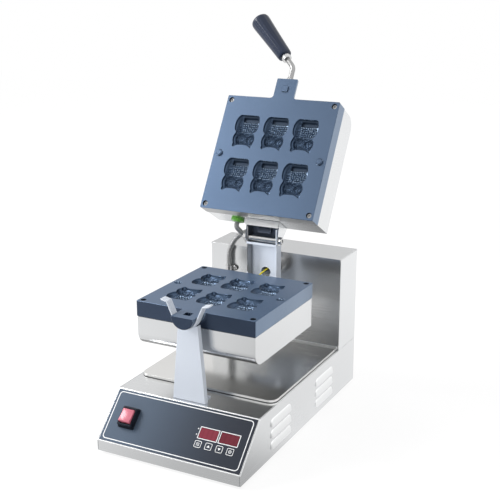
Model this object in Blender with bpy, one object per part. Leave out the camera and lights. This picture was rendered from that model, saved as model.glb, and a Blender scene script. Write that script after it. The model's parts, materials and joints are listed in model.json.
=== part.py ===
"""Countertop waffle maker with owl moulds: a sheet-steel base and tower carry a pair of hinged
moulds on a hollow shaft, so the pair turns about its parting plane and opens like a book.

Everything is in metres. Most pieces are modelled in the machine frame: X runs across, Y from the
front edge to the back and Z up from the bottom edge of the sheet steel. The upper mould is
modelled closed and stands open because its empty is turned about the hinge pin.
"""

import math

import bmesh
import bpy
from mathutils import Matrix, Vector

# Base and tower
BASE_WIDTH = 0.250
BASE_DEPTH = 0.438
LIP_HEIGHT = 0.017
SLOPE_RUN = 0.064
DECK_HEIGHT = 0.080
TOWER_DEPTH = 0.074
TOWER_HEIGHT = 0.2445
SHEET = 0.0012
GAP = 0.0003
OVERRUN = 0.003
FOOT_HEIGHT = 0.005
FOOT_RADIUS = 0.012
FOOT_TAPER = 0.002
FOOT_INSET = 0.032
FOOT_SCREW_RADIUS = 0.003
FOOT_SCREW_DEPTH = 0.002

# Louvres pressed out of the sides
LOUVRE_LENGTH = 0.071
LOUVRE_HEIGHT = 0.012
LOUVRE_PROUD = 0.003
LOUVRE_PITCH = 0.0185
LOUVRE_FIRST_HEIGHT = 0.0145
LOUVRES_FRONT = 0.0985
LOUVRES_REAR = 0.266
LOUVRES_PER_GROUP = 3

# Vents, lid and deck plate
VENT_LENGTH = 0.050
VENT_HEIGHT = 0.004
VENT_PITCH = 0.012
VENTS_PER_GROUP = 4
VENT_GROUP_HEIGHTS = (0.030, 0.150)
LID_OVERHANG = 0.0016
LID_FRONT_HEM = 0.0032
LID_REAR_HEM = 0.008
DECK_PLATE_MARGIN = 0.004
DECK_PLATE_FRONT = 0.118
DECK_PLATE_RISE = 0.0042
DECK_PLATE_CORNER = 0.014

# Control panel, measured up the slope and out of it
OVERLAY_THICKNESS = 0.0006
OVERLAY_MARGIN = 0.0022
SWITCH_X = -0.0850
SWITCH_UP = 0.0445
SWITCH_WIDTH = 0.026
SWITCH_LENGTH = 0.032
SWITCH_RISE = 0.0045
SWITCH_BODY_DEPTH = 0.020
SWITCH_CORNER = 0.0020
SWITCH_WALL = 0.0012
ROCKER_WIDTH = 0.0205
ROCKER_LENGTH = 0.0255
ROCKER_HEIGHT = 0.0075
ROCKER_SKIRT = 0.003
ROCKER_DIP = 0.0006
ROCKER_TILT = math.radians(6.0)
ROCKER_PIVOT = 0.0035
ROCKER_CLEARANCE = 0.0007
DISPLAY_WIDTH = 0.0300
DISPLAY_HEIGHT = 0.016
DISPLAY_LEFT_X = 0.054
DISPLAY_RIGHT_X = 0.089
DISPLAY_UP = 0.049
KEY_WIDTH = 0.0118
KEY_HEIGHT = 0.0112
KEY_FIRST_X = 0.0425
KEY_PITCH = 0.0181
KEY_UP = 0.0309
KEY_RISE = 0.0004
KEY_DROP = 0.0010
KEY_TRAVEL = 0.0005
KEY_NAMES = ("key_mode", "key_up", "key_down", "key_set")
BOARD_WIDTH = 0.084
BOARD_HEIGHT = 0.050
BOARD_THICKNESS = 0.0016
BOARD_DEPTH = 0.0080
CHIP_SIZE = 0.010
CHIP_HEIGHT = 0.003

# Front arm and its cradle
ARM_FRONT = 0.069
ARM_DEPTH = 0.009
ARM_SHEET = 0.0020
ARM_HALF_FOOT = 0.0285
ARM_HALF_TOP = 0.0172
ARM_TOP_DROP = 0.0165
ARM_FOOT_LENGTH = 0.028
ARM_FOOT_MARGIN = 0.006
CRADLE_FRONT = 0.060
CRADLE_WIDTH = 0.014
CRADLE_SHEET = 0.0020
CRADLE_HALF_WRAP = math.radians(65.0)
CRADLE_CLEARANCE = 0.0004
PRONG_LENGTH = 0.030
FLAP_LENGTH = 0.0115
FLAP_RISE = math.radians(12.0)
FLAP_CORNER = 0.0045

# Mould pair
MOULD_WIDTH = 0.2088
MOULD_FRONT = 0.0881
MOULD_TO_TOWER = 0.0692
PARTING_BELOW_LID = 0.0239
PLATE_THICKNESS = 0.0261
PLATE_EDGE = 0.0012
PLATE_GAP = 0.0005
HOUSING_DEPTH = 0.0486
HOUSING_INSET = 0.0012
HOUSING_SHEET = 0.0012
HOUSING_ROUND = 0.022
LUG_RADIUS = 0.019
LUG_LENGTH = 0.036
LUG_ROOT = 0.004
KEY_BLOCK_SIDE = 0.0100
KEY_BLOCK_HEIGHT = 0.004
KEY_BLOCK_FROM_FRONT = 0.017
KEY_SOCKET_CLEARANCE = 0.0011
KEY_SOCKET_EXTRA_DEPTH = 0.0006
DOWEL_RADIUS = 0.0050
DOWEL_TIP_RADIUS = 0.0034
DOWEL_HEIGHT = 0.0035
DOWEL_X = 0.0930
DOWEL_FROM_REAR = 0.1000
DOWEL_SOCKET_CLEARANCE = 0.0016
DOWEL_SOCKET_EXTRA_DEPTH = 0.0008
SCREW_X = 0.0960
SCREW_FROM_EDGE = 0.0084
SCREW_HEAD_RADIUS = 0.0041
SCREW_HEAD_HEIGHT = 0.0042
SCREW_SUNK = 0.0014
SCREW_SHANK_RADIUS = 0.0020
SCREW_LENGTH = 0.016
SCREW_HEX_RADIUS = 0.0020
SCREW_HEX_DEPTH = 0.0024
SCREW_CLEARANCE = 0.0004

# Owl cavities
OWL_WIDTH = 0.0450
OWL_HEIGHT = 0.0580
OWL_PITCH_X = 0.0545
OWL_PITCH_Y = 0.0785
OWL_ROW_MARGIN = 0.030
OWL_POCKET_DEPTH = 0.0042
OWL_DRAFT = 0.0014
OWL_DOME_DEPTH = 0.0034
OWL_DOME_RISE = 0.0010
OWL_EYE_DEPTH = 0.0009
OWL_EYE_RADIUS = 0.0064
OWL_PUPIL_RADIUS = 0.0026
OWL_PERCH_RADIUS = 0.0034
OWL_PERCH_RISE = 0.0004
OWL_BEAK_SIZE = 0.0030
OWL_BEAK_DEPTH = 0.0010
OWL_WELD = 0.00004
# Right half of the outline, from the foot to the crown, as shares of half the width and of the height
OWL_OUTLINE_SHARES = (
    (0.70, 0.000), (0.90, 0.090), (1.00, 0.250), (0.97, 0.400), (0.80, 0.515), (0.93, 0.610),
    (0.98, 0.740), (0.90, 0.870), (0.95, 1.000), (0.64, 0.930), (0.32, 0.895),
)
# Centre and half size of each hollow, as shares of half the width and of the height
OWL_HEAD_SHARES = (0.0, 0.72, 0.78, 0.17)
OWL_BELLY_SHARES = (0.0, 0.33, 0.50, 0.17)
OWL_WING_SHARES = (0.72, 0.31, 0.19, 0.19)
OWL_EYE_SHARES = (0.42, 0.735)
OWL_BEAK_SHARES = (0.0, 0.62)
OWL_PERCH_SHARES = (0.62, 0.083)

# Hinge
HINGE_BEHIND_MOULD = 0.0267
HINGE_ABOVE_PARTING = 0.0553
OPEN_ANGLE = math.radians(120.6)
COLUMN_HALF_WIDTH = 0.028
COLUMN_SHEET = 0.0020
COLUMN_FRONT_TO_PIN = 0.0065
COLUMN_WEB_TO_PIN = 0.0095
COLUMN_ABOVE_PIN = 0.020
COLUMN_BELOW_PARTING = 0.0700
GUSSET_TOP_BELOW_PARTING = 0.005
GUSSET_BOTTOM_BELOW_PARTING = 0.030
TIE_STRIP_BELOW_PIN = 0.0060
TIE_STRIP_HEIGHT = 0.0040
TIE_STRIP_SHEET = 0.0020
WEB_HOLE_RADIUS = 0.009
WEB_HOLE_BELOW_PARTING = 0.0061
PIN_RADIUS = 0.0040
PIN_CLEARANCE = 0.0003
PIN_HEAD_RADIUS = 0.0065
PIN_HEAD_LENGTH = 0.0050
PIN_HEAD_TAPER = 0.0006
PIN_NUT_LENGTH = 0.0060
PIN_TAIL = 0.0020
SLEEVE_WALL = 0.0011
BRACKET_SHEET = 0.0020
BRACKET_HALF_HEIGHT = 0.018
BRACKET_EAR_RADIUS = 0.009
BRACKET_CLEARANCE = 0.0004
STOP_TONGUE_HALF_WIDTH = 0.012
STOP_TONGUE_TO_PIN = 0.009

# Shaft and bearings
SHAFT_RADIUS = 0.016
SHAFT_BORE = 0.0125
SHAFT_FLANGE_RADIUS = 0.023
SHAFT_FLANGE = 0.0040
SHAFT_END_TO_BACK = 0.028
BEARING_RADIUS = 0.0203
BEARING_CLEARANCE = 0.0003
BEARING_PROUD = 0.008
BEARING_SLEEVE_RADIUS = 0.0186
BEARING_SLEEVE_LENGTH = 0.010
REAR_BEARING_LENGTH = 0.012
SHAFT_BRACKET_TO_BACK = 0.042
SHAFT_BRACKET_SHEET = 0.004
SHAFT_BRACKET_HALF_WIDTH = 0.045
SHAFT_BRACKET_ABOVE = 0.018
SHAFT_BRACKET_FOOT = 0.030

# Handle, placed in the plane of the mould
ROD_RADIUS = 0.0044
ROD_DEPTH_IN_LUG = 0.0100
ROD_STRAIGHT = 0.0257
ROD_BEND_RADIUS = 0.014
ROD_CRANK = 0.0283
ROD_CRANK_ANGLE = math.radians(45.0)
ROD_COLLAR_RADIUS = 0.0070
ROD_COLLAR_LENGTH = 0.0045
FERRULE_RADIUS = 0.0082
FERRULE_LENGTH = 0.0080
GRIP_LENGTH = 0.095
GRIP_RADIUS = 0.0140
GRIP_SOCKET_DEPTH = 0.030
# Radius and place along the grip, as shares of its largest radius and of its length
GRIP_PROFILE_SHARES = (
    (0.66, 0.000), (0.80, 0.018), (0.84, 0.060), (0.90, 0.350), (0.97, 0.650), (1.00, 0.820),
    (0.96, 0.915), (0.80, 0.968), (0.48, 0.994), (0.00, 1.000),
)

# Heaters
HEATER_RADIUS = 0.0036
HEATER_HALF_SPAN = 0.072
HEATER_INNER_X = 0.026
HEATER_FROM_EDGE = 0.022
HEATER_BEND = 0.014

# Conduit from the deck to the upper mould
CONDUIT_RADIUS = 0.0044
CONDUIT_RIB_DEPTH = 0.0005
CONDUIT_BORE = 0.0030
CONDUIT_PITCH = 0.0034
CONDUIT_X = -0.086
CONDUIT_FROM_TOWER = 0.0070
UPPER_GLAND_X = -0.055
UPPER_GLAND_DEPTH = 0.052
GLAND_RADIUS = 0.0092
GLAND_NOSE_RADIUS = 0.0072
GLAND_LENGTH = 0.0050
GLAND_SHOULDER = 0.0035
GLAND_STEM_RADIUS = 0.0060
DECK_GLAND_RADIUS = 0.0062
DECK_GLAND_STEM_RADIUS = 0.0048
DECK_GLAND_STEM_LENGTH = 0.006
DECK_GLAND_HEIGHT = 0.008
CLIP_BELOW_LID = 0.0417
CLIP_WIDTH = 0.009
CLIP_SHEET = 0.0012
CLIP_WRAP = math.radians(288.0)
CLIP_SCREW_OFFSET = 0.0095
CLIP_SCREW_RADIUS = 0.0032
EARTH_RADIUS = 0.0014
EARTH_STEP = 0.004
# Hand-chosen points on the conduit's way from the upper gland to behind the column
CONDUIT_UPPER_ROUTE = (
    (-0.0495, 0.3325, 0.2800), (-0.0435, 0.3400, 0.2670), (-0.0340, 0.3455, 0.2545),
)
CONDUIT_MEETING = (-0.0100, 0.3470, 0.2470)
# Hand-chosen points from behind the column, round one loop and down the front of the tower
CONDUIT_LOWER_ROUTE = (
    (0.0095, 0.3485, 0.2520), (0.0160, 0.3505, 0.2635), (0.0115, 0.3525, 0.2750),
    (-0.0010, 0.3540, 0.2803), (-0.0170, 0.3545, 0.2810), (-0.0340, 0.3552, 0.2793),
    (-0.0500, 0.3558, 0.2745), (-0.0650, 0.3564, 0.2650), (-0.0765, 0.3568, 0.2520),
    (-0.0835, 0.3570, 0.2370), (-0.0858, 0.3570, 0.2200),
)
# Hand-chosen points of the earth wire from the shaft's bore through the web to the column's front
EARTH_ROUTE = (
    (0.0060, 0.4080, 0.2226), (0.0055, 0.3800, 0.2222), (0.0040, 0.3520, 0.2216),
    (0.0015, 0.3380, 0.2196), (-0.0025, 0.3290, 0.2160), (-0.0068, 0.3220, 0.2110),
    (-0.0105, 0.3150, 0.2030), (-0.0125, 0.3095, 0.1930), (-0.0130, 0.3070, 0.1850),
    (-0.0130, 0.3030, 0.1800), (-0.0130, 0.2962, 0.1800),
)

# Electrical pieces in the base
RELAY_SIZE = (0.060, 0.045, 0.022)
RELAY_PLACE = (-0.050, 0.230)
RELAY_BASE = 0.0040
# Width and depth of the relay's body, as shares of its base
RELAY_BODY_SHARES = (0.67, 0.80)
TERMINAL_SIZE = (0.070, 0.018, 0.016)
TERMINAL_PLACE = (0.045, 0.330)
TERMINAL_WAYS = 5
TERMINAL_SLOT = 0.008
MAINS_GLAND_X = 0.060
MAINS_GLAND_HEIGHT = 0.040
MAINS_GLAND_RADIUS = 0.011
MAINS_GLAND_PROUD = 0.012
MAINS_GLAND_INSIDE = 0.008
MAINS_GLAND_BORE = 0.0045
MAINS_GLAND_NECK = 0.008

ROUND_STEPS = 28
SMALL_STEPS = 16

TOWER_FRONT = BASE_DEPTH - TOWER_DEPTH
SLOPE_ANGLE = math.atan2(DECK_HEIGHT - LIP_HEIGHT, SLOPE_RUN)
SLOPE_LENGTH = math.hypot(SLOPE_RUN, DECK_HEIGHT - LIP_HEIGHT)
INNER_HALF_WIDTH = BASE_WIDTH / 2 - SHEET - GAP
DECK_PLATE_WIDTH = BASE_WIDTH - 2 * DECK_PLATE_MARGIN
MOULD_REAR = TOWER_FRONT - MOULD_TO_TOWER
MOULD_DEPTH = MOULD_REAR - MOULD_FRONT
PARTING_HEIGHT = TOWER_HEIGHT - PARTING_BELOW_LID
HINGE_Y = MOULD_REAR + HINGE_BEHIND_MOULD
HINGE_Z = PARTING_HEIGHT + HINGE_ABOVE_PARTING
WEB_FRONT = HINGE_Y + COLUMN_WEB_TO_PIN
WEB_REAR = WEB_FRONT + COLUMN_SHEET
CONDUIT_Y = TOWER_FRONT - CONDUIT_FROM_TOWER
CLIP_HEIGHT = TOWER_HEIGHT - CLIP_BELOW_LID
SHAFT_END = BASE_DEPTH - SHAFT_END_TO_BACK


class Group:
    """A frame that pieces are modelled in, and the empty that carries them."""

    def __init__(self, name, origin, parent=None, turn=0.0):
        self.origin = Vector(origin)
        self.empty = bpy.data.objects.new(name, None)
        bpy.context.collection.objects.link(self.empty)
        self.empty.location = self.origin
        if parent:
            self.empty.parent = parent.empty
            self.empty.location = self.origin - parent.origin
        self.empty.rotation_euler.x = turn


def clear_scene():
    for obj in list(bpy.data.objects):
        bpy.data.objects.remove(obj, do_unlink=True)


def make_material(name, colour, roughness, metallic=0.0):
    material = bpy.data.materials.new(name)
    material.use_nodes = True
    shader = material.node_tree.nodes["Principled BSDF"]
    shader.inputs["Base Color"].default_value = (*colour, 1.0)
    shader.inputs["Roughness"].default_value = roughness
    shader.inputs["Metallic"].default_value = metallic
    material.diffuse_color = (*colour, 1.0)
    return material


def add(name, bm, group, material=None, at=(0.0, 0.0, 0.0)):
    """Makes an object of a mesh drawn around the point at, in the group's frame."""
    bmesh.ops.recalc_face_normals(bm, faces=bm.faces)
    mesh = bpy.data.meshes.new(name)
    bm.to_mesh(mesh)
    bm.free()
    if material:
        mesh.materials.append(material)
    mesh.shade_smooth()
    mesh.set_sharp_from_angle(angle=math.radians(30.0))
    obj = bpy.data.objects.new(name, mesh)
    bpy.context.collection.objects.link(obj)
    obj.parent = group.empty
    obj.location = Vector(at) - group.origin
    return obj


def hide_tool(tool):
    tool.hide_render = True
    tool.display_type = "WIRE"


def combine(target, operation, tools):
    for tool in tools:
        hide_tool(tool)
        modifier = target.modifiers.new(f"{operation.lower()} {tool.name}", "BOOLEAN")
        modifier.operation = operation
        modifier.object = tool
        modifier.solver = "EXACT"


def cut(target, *tools):
    combine(target, "DIFFERENCE", tools)


def join(target, *tools):
    combine(target, "UNION", tools)


def block(low, high):
    """A box between two corners."""
    bm = bmesh.new()
    size = Vector(high) - Vector(low)
    middle = (Vector(high) + Vector(low)) / 2
    bmesh.ops.create_cube(bm, size=1.0, matrix=Matrix.Translation(middle) @ Matrix.Diagonal((*size, 1.0)))
    return bm


def prism(outline, axis, start, end):
    """An outline drawn in the other two axes, in X, Y, Z order, and extruded along one axis."""
    order = {"X": (2, 0, 1), "Y": (0, 2, 1), "Z": (0, 1, 2)}[axis]
    bm = bmesh.new()

    def point(a, b, c):
        values = (a, b, c)
        return Vector([values[i] for i in order])

    face = bm.faces.new([bm.verts.new(point(a, b, start)) for a, b in outline])
    extruded = bmesh.ops.extrude_face_region(bm, geom=[face])["geom"]
    moved = [v for v in extruded if isinstance(v, bmesh.types.BMVert)]
    bmesh.ops.translate(bm, verts=moved, vec=point(0.0, 0.0, end - start))
    return bm


def turned(profile, direction, centre, steps):
    """A turned solid: (radius, place along the axis) from end to end, or a closed loop round a bore."""
    bm = bmesh.new()
    turn = Vector(direction).to_track_quat("Z", "Y").to_matrix().to_4x4()
    matrix = Matrix.Translation(centre) @ turn
    rings = []
    for radius, along in profile:
        if radius == 0.0:
            rings.append([bm.verts.new(matrix @ Vector((0.0, 0.0, along)))])
            continue
        angles = [2 * math.pi * i / steps for i in range(steps)]
        rings.append([
            bm.verts.new(matrix @ Vector((radius * math.cos(a), radius * math.sin(a), along))) for a in angles
        ])
    if len(rings[0]) > 1 and len(rings[-1]) > 1:
        rings.append(rings[0])
    for first, second in zip(rings, rings[1:]):
        bridge(bm, first, second)
    return bm


def bridge(bm, first, second):
    """Faces between two rings of points, either of which may be a single point."""
    count = max(len(first), len(second))
    for i in range(count):
        j = (i + 1) % count
        start = (first[i % len(first)], first[j % len(first)])
        end = (second[j % len(second)], second[i % len(second)])
        bm.faces.new(list(dict.fromkeys((*start, *end))))


def rod(radius, start, end, direction, centre, steps=SMALL_STEPS):
    """A plain cylinder along a direction through a centre."""
    return turned([(0.0, start), (radius, start), (radius, end), (0.0, end)], direction, centre, steps)


def ring(inner, outer, start, end, direction, centre, steps=ROUND_STEPS):
    """A cylinder with a bore."""
    profile = [(inner, start), (outer, start), (outer, end), (inner, end)]
    return turned(profile, direction, centre, steps)


def arc(centre, radius, start, end, steps):
    """Points on an arc, from one angle to another."""
    angles = [start + (end - start) * i / steps for i in range(steps + 1)]
    return [(centre[0] + radius * math.cos(a), centre[1] + radius * math.sin(a)) for a in angles]


def rounded_rectangle(low, high, radius, steps=4):
    corners = (
        ((high[0] - radius, low[1] + radius), -math.pi / 2), ((high[0] - radius, high[1] - radius), 0.0),
        ((low[0] + radius, high[1] - radius), math.pi / 2), ((low[0] + radius, low[1] + radius), math.pi),
    )
    return [p for centre, start in corners for p in arc(centre, radius, start, start + math.pi / 2, steps)]


def bent_sheet(path, thickness):
    """The outline of a sheet whose outer face follows a path, with its thickness to the right."""
    points = [Vector(p) for p in path]
    sides = [(b - a).normalized() for a, b in zip(points, points[1:])]
    sides = [sides[0], *sides, sides[-1]]
    inner = []
    for point, before, after in zip(points, sides, sides[1:]):
        normal = Vector((before.y, -before.x)) + Vector((after.y, -after.x))
        inner.append(point + normal * thickness / (1.0 + before.dot(after)))
    return [tuple(p) for p in points] + [tuple(p) for p in reversed(inner)]


def smooth_route(points, spacing):
    """Evenly spaced points on a smooth curve through the route, whose first and last runs stay straight."""
    points = [Vector(p) for p in points]
    dense = [points[0]]
    for a, b, c, d in zip(points, points[1:], points[2:], points[3:]):
        for i in range(ROUND_STEPS):
            t = i / ROUND_STEPS
            square, cube = (a * 2 - b * 5 + c * 4 - d) * t**2, (b * 3 - a - c * 3 + d) * t**3
            dense.append((b * 2 + (c - a) * t + square + cube) / 2)
    dense += [points[-2], points[-1]]
    lengths = [0.0]
    for a, b in zip(dense, dense[1:]):
        lengths.append(lengths[-1] + (b - a).length)
    count = max(2, round(lengths[-1] / spacing))
    even = []
    for i in range(count + 1):
        target = lengths[-1] * i / count
        k = next(n for n in range(1, len(lengths)) if lengths[n] >= target or n == len(lengths) - 1)
        share = (target - lengths[k - 1]) / (lengths[k] - lengths[k - 1])
        even.append(dense[k - 1].lerp(dense[k], share))
    return even


def rings_along(bm, points, radii, sides):
    """Rings of vertices square to a line of points, without twist."""
    forward = (points[1] - points[0]).normalized()
    across = forward.orthogonal().normalized()
    rings = []
    for i, (point, radius) in enumerate(zip(points, radii)):
        ahead = (points[min(i + 1, len(points) - 1)] - points[max(i - 1, 0)]).normalized()
        across = (across - ahead * across.dot(ahead)).normalized()
        up = ahead.cross(across)
        angles = [2 * math.pi * k / sides for k in range(sides)]
        spokes = [across * math.cos(a) + up * math.sin(a) for a in angles]
        rings.append([bm.verts.new(point + spoke * radius) for spoke in spokes])
    return rings


def ribbed_hose(points, radius, rib_depth, bore, sides=6, bore_step=5):
    """A hose with a rib on every second point and a plain bore right through."""
    bm = bmesh.new()
    radii = [radius - rib_depth * (i % 2 == 0) for i in range(len(points))]
    outer = rings_along(bm, points, radii, sides)
    kept = sorted({*range(0, len(points), bore_step), len(points) - 1})
    inner_points = [points[i] for i in kept]
    inner = rings_along(bm, inner_points, [bore] * len(kept), sides)
    for line in (outer, inner):
        for first, second in zip(line, line[1:]):
            bridge(bm, first, second)
    for end in (0, -1):
        bridge(bm, outer[end], inner[end])
    return bm


def wire(name, points, radius, group, material, resolution=2):
    """A round wire or rod as a curve with filled ends."""
    curve = bpy.data.curves.new(name, "CURVE")
    curve.dimensions = "3D"
    curve.bevel_depth = radius
    curve.bevel_resolution = resolution
    curve.use_fill_caps = True
    curve.render_resolution_u = 0
    spline = curve.splines.new("POLY")
    spline.points.add(len(points) - 1)
    for target, point in zip(spline.points, points):
        target.co = (*point, 1.0)
    if material:
        curve.materials.append(material)
    obj = bpy.data.objects.new(name, curve)
    bpy.context.collection.objects.link(obj)
    obj.parent = group.empty
    obj.location = -group.origin
    return obj


def rounded_path(points, radius, steps=4):
    """A path whose inner corners are rounded."""
    points = [Vector(p) for p in points]
    path = [points[0]]
    for before, corner, after in zip(points, points[1:], points[2:]):
        a = (before - corner).normalized()
        b = (after - corner).normalized()
        half = a.angle(b) / 2
        centre = corner + (a + b).normalized() * radius / math.sin(half)
        start = corner + a * radius / math.tan(half) - centre
        end = corner + b * radius / math.tan(half) - centre
        sweep = start.angle(end)
        for i in range(steps + 1):
            t = i / steps
            blended = start * math.sin((1 - t) * sweep) + end * math.sin(t * sweep)
            path.append(centre + blended / math.sin(sweep))
    path.append(points[-1])
    return path


def make_materials():
    return {
        "steel": make_material("brushed steel", (0.72, 0.72, 0.71), 0.32, 1.0),
        "chrome": make_material("polished steel", (0.80, 0.80, 0.80), 0.12, 1.0),
        "mould": make_material("coated cast aluminium", (0.13, 0.18, 0.26), 0.42, 0.2),
        "overlay": make_material("slate panel film", (0.05, 0.07, 0.09), 0.38),
        "black": make_material("black plastic", (0.02, 0.02, 0.025), 0.35),
        "red": make_material("red rocker", (0.80, 0.06, 0.08), 0.25),
        "window": make_material("dark red window", (0.30, 0.02, 0.04), 0.12),
        "green": make_material("green gland", (0.16, 0.52, 0.12), 0.40),
        "board": make_material("circuit board", (0.03, 0.20, 0.08), 0.50),
        "rubber": make_material("foot rubber", (0.03, 0.03, 0.03), 0.80),
        "grip": make_material("grip resin", (0.02, 0.025, 0.035), 0.22),
        "earth": make_material("earth wire", (0.62, 0.66, 0.08), 0.50),
        "conduit": make_material("conduit steel", (0.45, 0.45, 0.44), 0.38, 1.0),
    }


def base_side(machine, materials, side):
    """A flat side with two groups of pressed louvres, open along their lower edges."""
    name = "base_side_right" if side > 0 else "base_side_left"
    outline = [
        (0.0, 0.0), (0.0, LIP_HEIGHT), (SLOPE_RUN, DECK_HEIGHT), (BASE_DEPTH, DECK_HEIGHT), (BASE_DEPTH, 0.0),
    ]
    outside = side * BASE_WIDTH / 2
    inside = outside - side * SHEET
    panel = add(name, prism(outline, "X", inside, outside), machine, materials["steel"])
    for group, start in (("front", LOUVRES_FRONT), ("rear", LOUVRES_REAR)):
        for row in range(LOUVRES_PER_GROUP):
            low = LOUVRE_FIRST_HEIGHT + row * LOUVRE_PITCH
            high = low + LOUVRE_HEIGHT
            proud = outside + side * LOUVRE_PROUD
            hood = [(inside, high), (outside, high), (proud, low), (inside, low)]
            shell = prism(hood, "Y", start, start + LOUVRE_LENGTH)
            tag = f"{name}_{group}_{row}"
            join(panel, add(f"{tag}_hood", shell, machine))
            mouth_top = high - SHEET * 2
            back = inside - side * OVERRUN
            mouth = [(back, mouth_top), (inside, mouth_top), (proud - side * SHEET, low + SHEET / 2),
                     (proud - side * SHEET, low - OVERRUN / 2), (outside + side * GAP, low - OVERRUN / 2),
                     (outside + side * GAP, low), (back, low)]
            opening = prism(mouth, "Y", start + SHEET, start + LOUVRE_LENGTH - SHEET)
            cut(panel, add(f"{tag}_mouth", opening, machine))


def panel_hole(name, low, high, group):
    """A cutter through the sloping sheet, in the panel's own frame."""
    return add(name, block((*low, -OVERRUN - SHEET), (*high, OVERRUN)), group)


def display_area():
    return (
        (DISPLAY_LEFT_X - DISPLAY_WIDTH / 2, DISPLAY_UP - DISPLAY_HEIGHT / 2),
        (DISPLAY_RIGHT_X + DISPLAY_WIDTH / 2, DISPLAY_UP + DISPLAY_HEIGHT / 2),
    )


def key_area():
    last = KEY_FIRST_X + KEY_PITCH * (len(KEY_NAMES) - 1)
    return (
        (KEY_FIRST_X - KEY_WIDTH / 2, KEY_UP - KEY_HEIGHT / 2),
        (last + KEY_WIDTH / 2, KEY_UP + KEY_HEIGHT / 2),
    )


def grown(area, margin):
    (x0, y0), (x1, y1) = area
    return (x0 - margin, y0 - margin), (x1 + margin, y1 + margin)


def switch_body_area():
    half_width = ROCKER_WIDTH / 2 + ROCKER_CLEARANCE + SWITCH_WALL
    half_length = ROCKER_LENGTH / 2 + ROCKER_CLEARANCE + SWITCH_WALL
    return (SWITCH_X - half_width, SWITCH_UP - half_length), (SWITCH_X + half_width, SWITCH_UP + half_length)


def base_body(machine, panel, materials):
    steel = materials["steel"]
    rear = BASE_DEPTH - SHEET - GAP
    path = [(0.0, 0.0), (0.0, LIP_HEIGHT), (SLOPE_RUN, DECK_HEIGHT), (rear, DECK_HEIGHT)]
    sheet = prism(bent_sheet(path, SHEET), "X", -INNER_HALF_WIDTH, INNER_HALF_WIDTH)
    top = add("base_top_sheet", sheet, machine, steel)
    cut(top, panel_hole("display_hole", *grown(display_area(), OVERLAY_MARGIN / 2), panel))
    cut(top, panel_hole("key_hole", *grown(key_area(), OVERLAY_MARGIN / 2), panel))
    cut(top, panel_hole("switch_hole", *grown(switch_body_area(), GAP), panel))
    centre = (CONDUIT_X, CONDUIT_Y, DECK_HEIGHT)
    hole = rod(DECK_GLAND_STEM_RADIUS + GAP, -OVERRUN, OVERRUN, (0, 0, 1), centre)
    cut(top, add("deck_gland_hole", hole, machine))
    for side in (-1, 1):
        base_side(machine, materials, side)
    low = (-INNER_HALF_WIDTH, SHEET + GAP, 0.0)
    bottom = add("base_bottom_plate", block(low, (INNER_HALF_WIDTH, rear, SHEET)), machine, steel)
    for row in range(VENTS_PER_GROUP):
        start = BASE_DEPTH / 2 + row * VENT_PITCH
        vent = block((-VENT_LENGTH, start, -OVERRUN), (VENT_LENGTH, start + VENT_HEIGHT, OVERRUN))
        cut(bottom, add(f"bottom_vent_{row}", vent, machine))
    places = {
        "foot_front_left": (-1, FOOT_INSET), "foot_front_right": (1, FOOT_INSET),
        "foot_rear_left": (-1, BASE_DEPTH - FOOT_INSET), "foot_rear_right": (1, BASE_DEPTH - FOOT_INSET),
    }
    for name, (side, y) in places.items():
        profile = [
            (0.0, FOOT_SCREW_DEPTH), (FOOT_SCREW_RADIUS, FOOT_SCREW_DEPTH), (FOOT_SCREW_RADIUS, 0.0),
            (FOOT_RADIUS - FOOT_TAPER, 0.0), (FOOT_RADIUS, FOOT_HEIGHT - GAP), (0.0, FOOT_HEIGHT - GAP),
        ]
        foot = turned(profile, (0, 0, 1), (0.0, 0.0, 0.0), SMALL_STEPS)
        x = side * (BASE_WIDTH / 2 - FOOT_INSET)
        add(name, foot, machine, materials["rubber"], at=(x, y, -FOOT_HEIGHT))


def tower_body(machine, materials):
    steel = materials["steel"]
    low = DECK_HEIGHT + GAP
    high = TOWER_HEIGHT - SHEET - GAP
    half = BASE_WIDTH / 2
    path = [(half, BASE_DEPTH), (half, TOWER_FRONT), (-half, TOWER_FRONT), (-half, BASE_DEPTH)]
    shell = add("tower_shell", prism(bent_sheet(path[::-1], -SHEET), "Z", low, high), machine, steel)
    axis = (0.0, TOWER_FRONT, PARTING_HEIGHT)
    hole = rod(BEARING_SLEEVE_RADIUS + GAP, -OVERRUN, OVERRUN, (0, 1, 0), axis, ROUND_STEPS)
    cut(shell, add("tower_bearing_hole", hole, machine))
    front = TOWER_FRONT - LID_OVERHANG
    back = BASE_DEPTH + LID_OVERHANG
    path = [
        (front, TOWER_HEIGHT - LID_FRONT_HEM), (front, TOWER_HEIGHT),
        (back, TOWER_HEIGHT), (back, TOWER_HEIGHT - LID_REAR_HEM),
    ]
    add("tower_lid", prism(bent_sheet(path, SHEET), "X", -half, half), machine, steel)
    low_corner = (-INNER_HALF_WIDTH, BASE_DEPTH - SHEET, 0.0)
    rear = add("rear_panel", block(low_corner, (INNER_HALF_WIDTH, BASE_DEPTH, high)), machine, steel)
    for group, height in enumerate(VENT_GROUP_HEIGHTS):
        for row in range(VENTS_PER_GROUP):
            start = height + row * VENT_PITCH
            low = (-BASE_WIDTH / 4 - VENT_LENGTH / 2, BASE_DEPTH - OVERRUN, start)
            end = (-BASE_WIDTH / 4 + VENT_LENGTH / 2, BASE_DEPTH + OVERRUN, start + VENT_HEIGHT)
            cut(rear, add(f"rear_vent_{group}_{row}", block(low, end), machine))
    centre = (MAINS_GLAND_X, BASE_DEPTH, MAINS_GLAND_HEIGHT)
    hole = rod(MAINS_GLAND_NECK + GAP, -OVERRUN, OVERRUN, (0, 1, 0), centre)
    cut(rear, add("mains_gland_hole", hole, machine))


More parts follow.
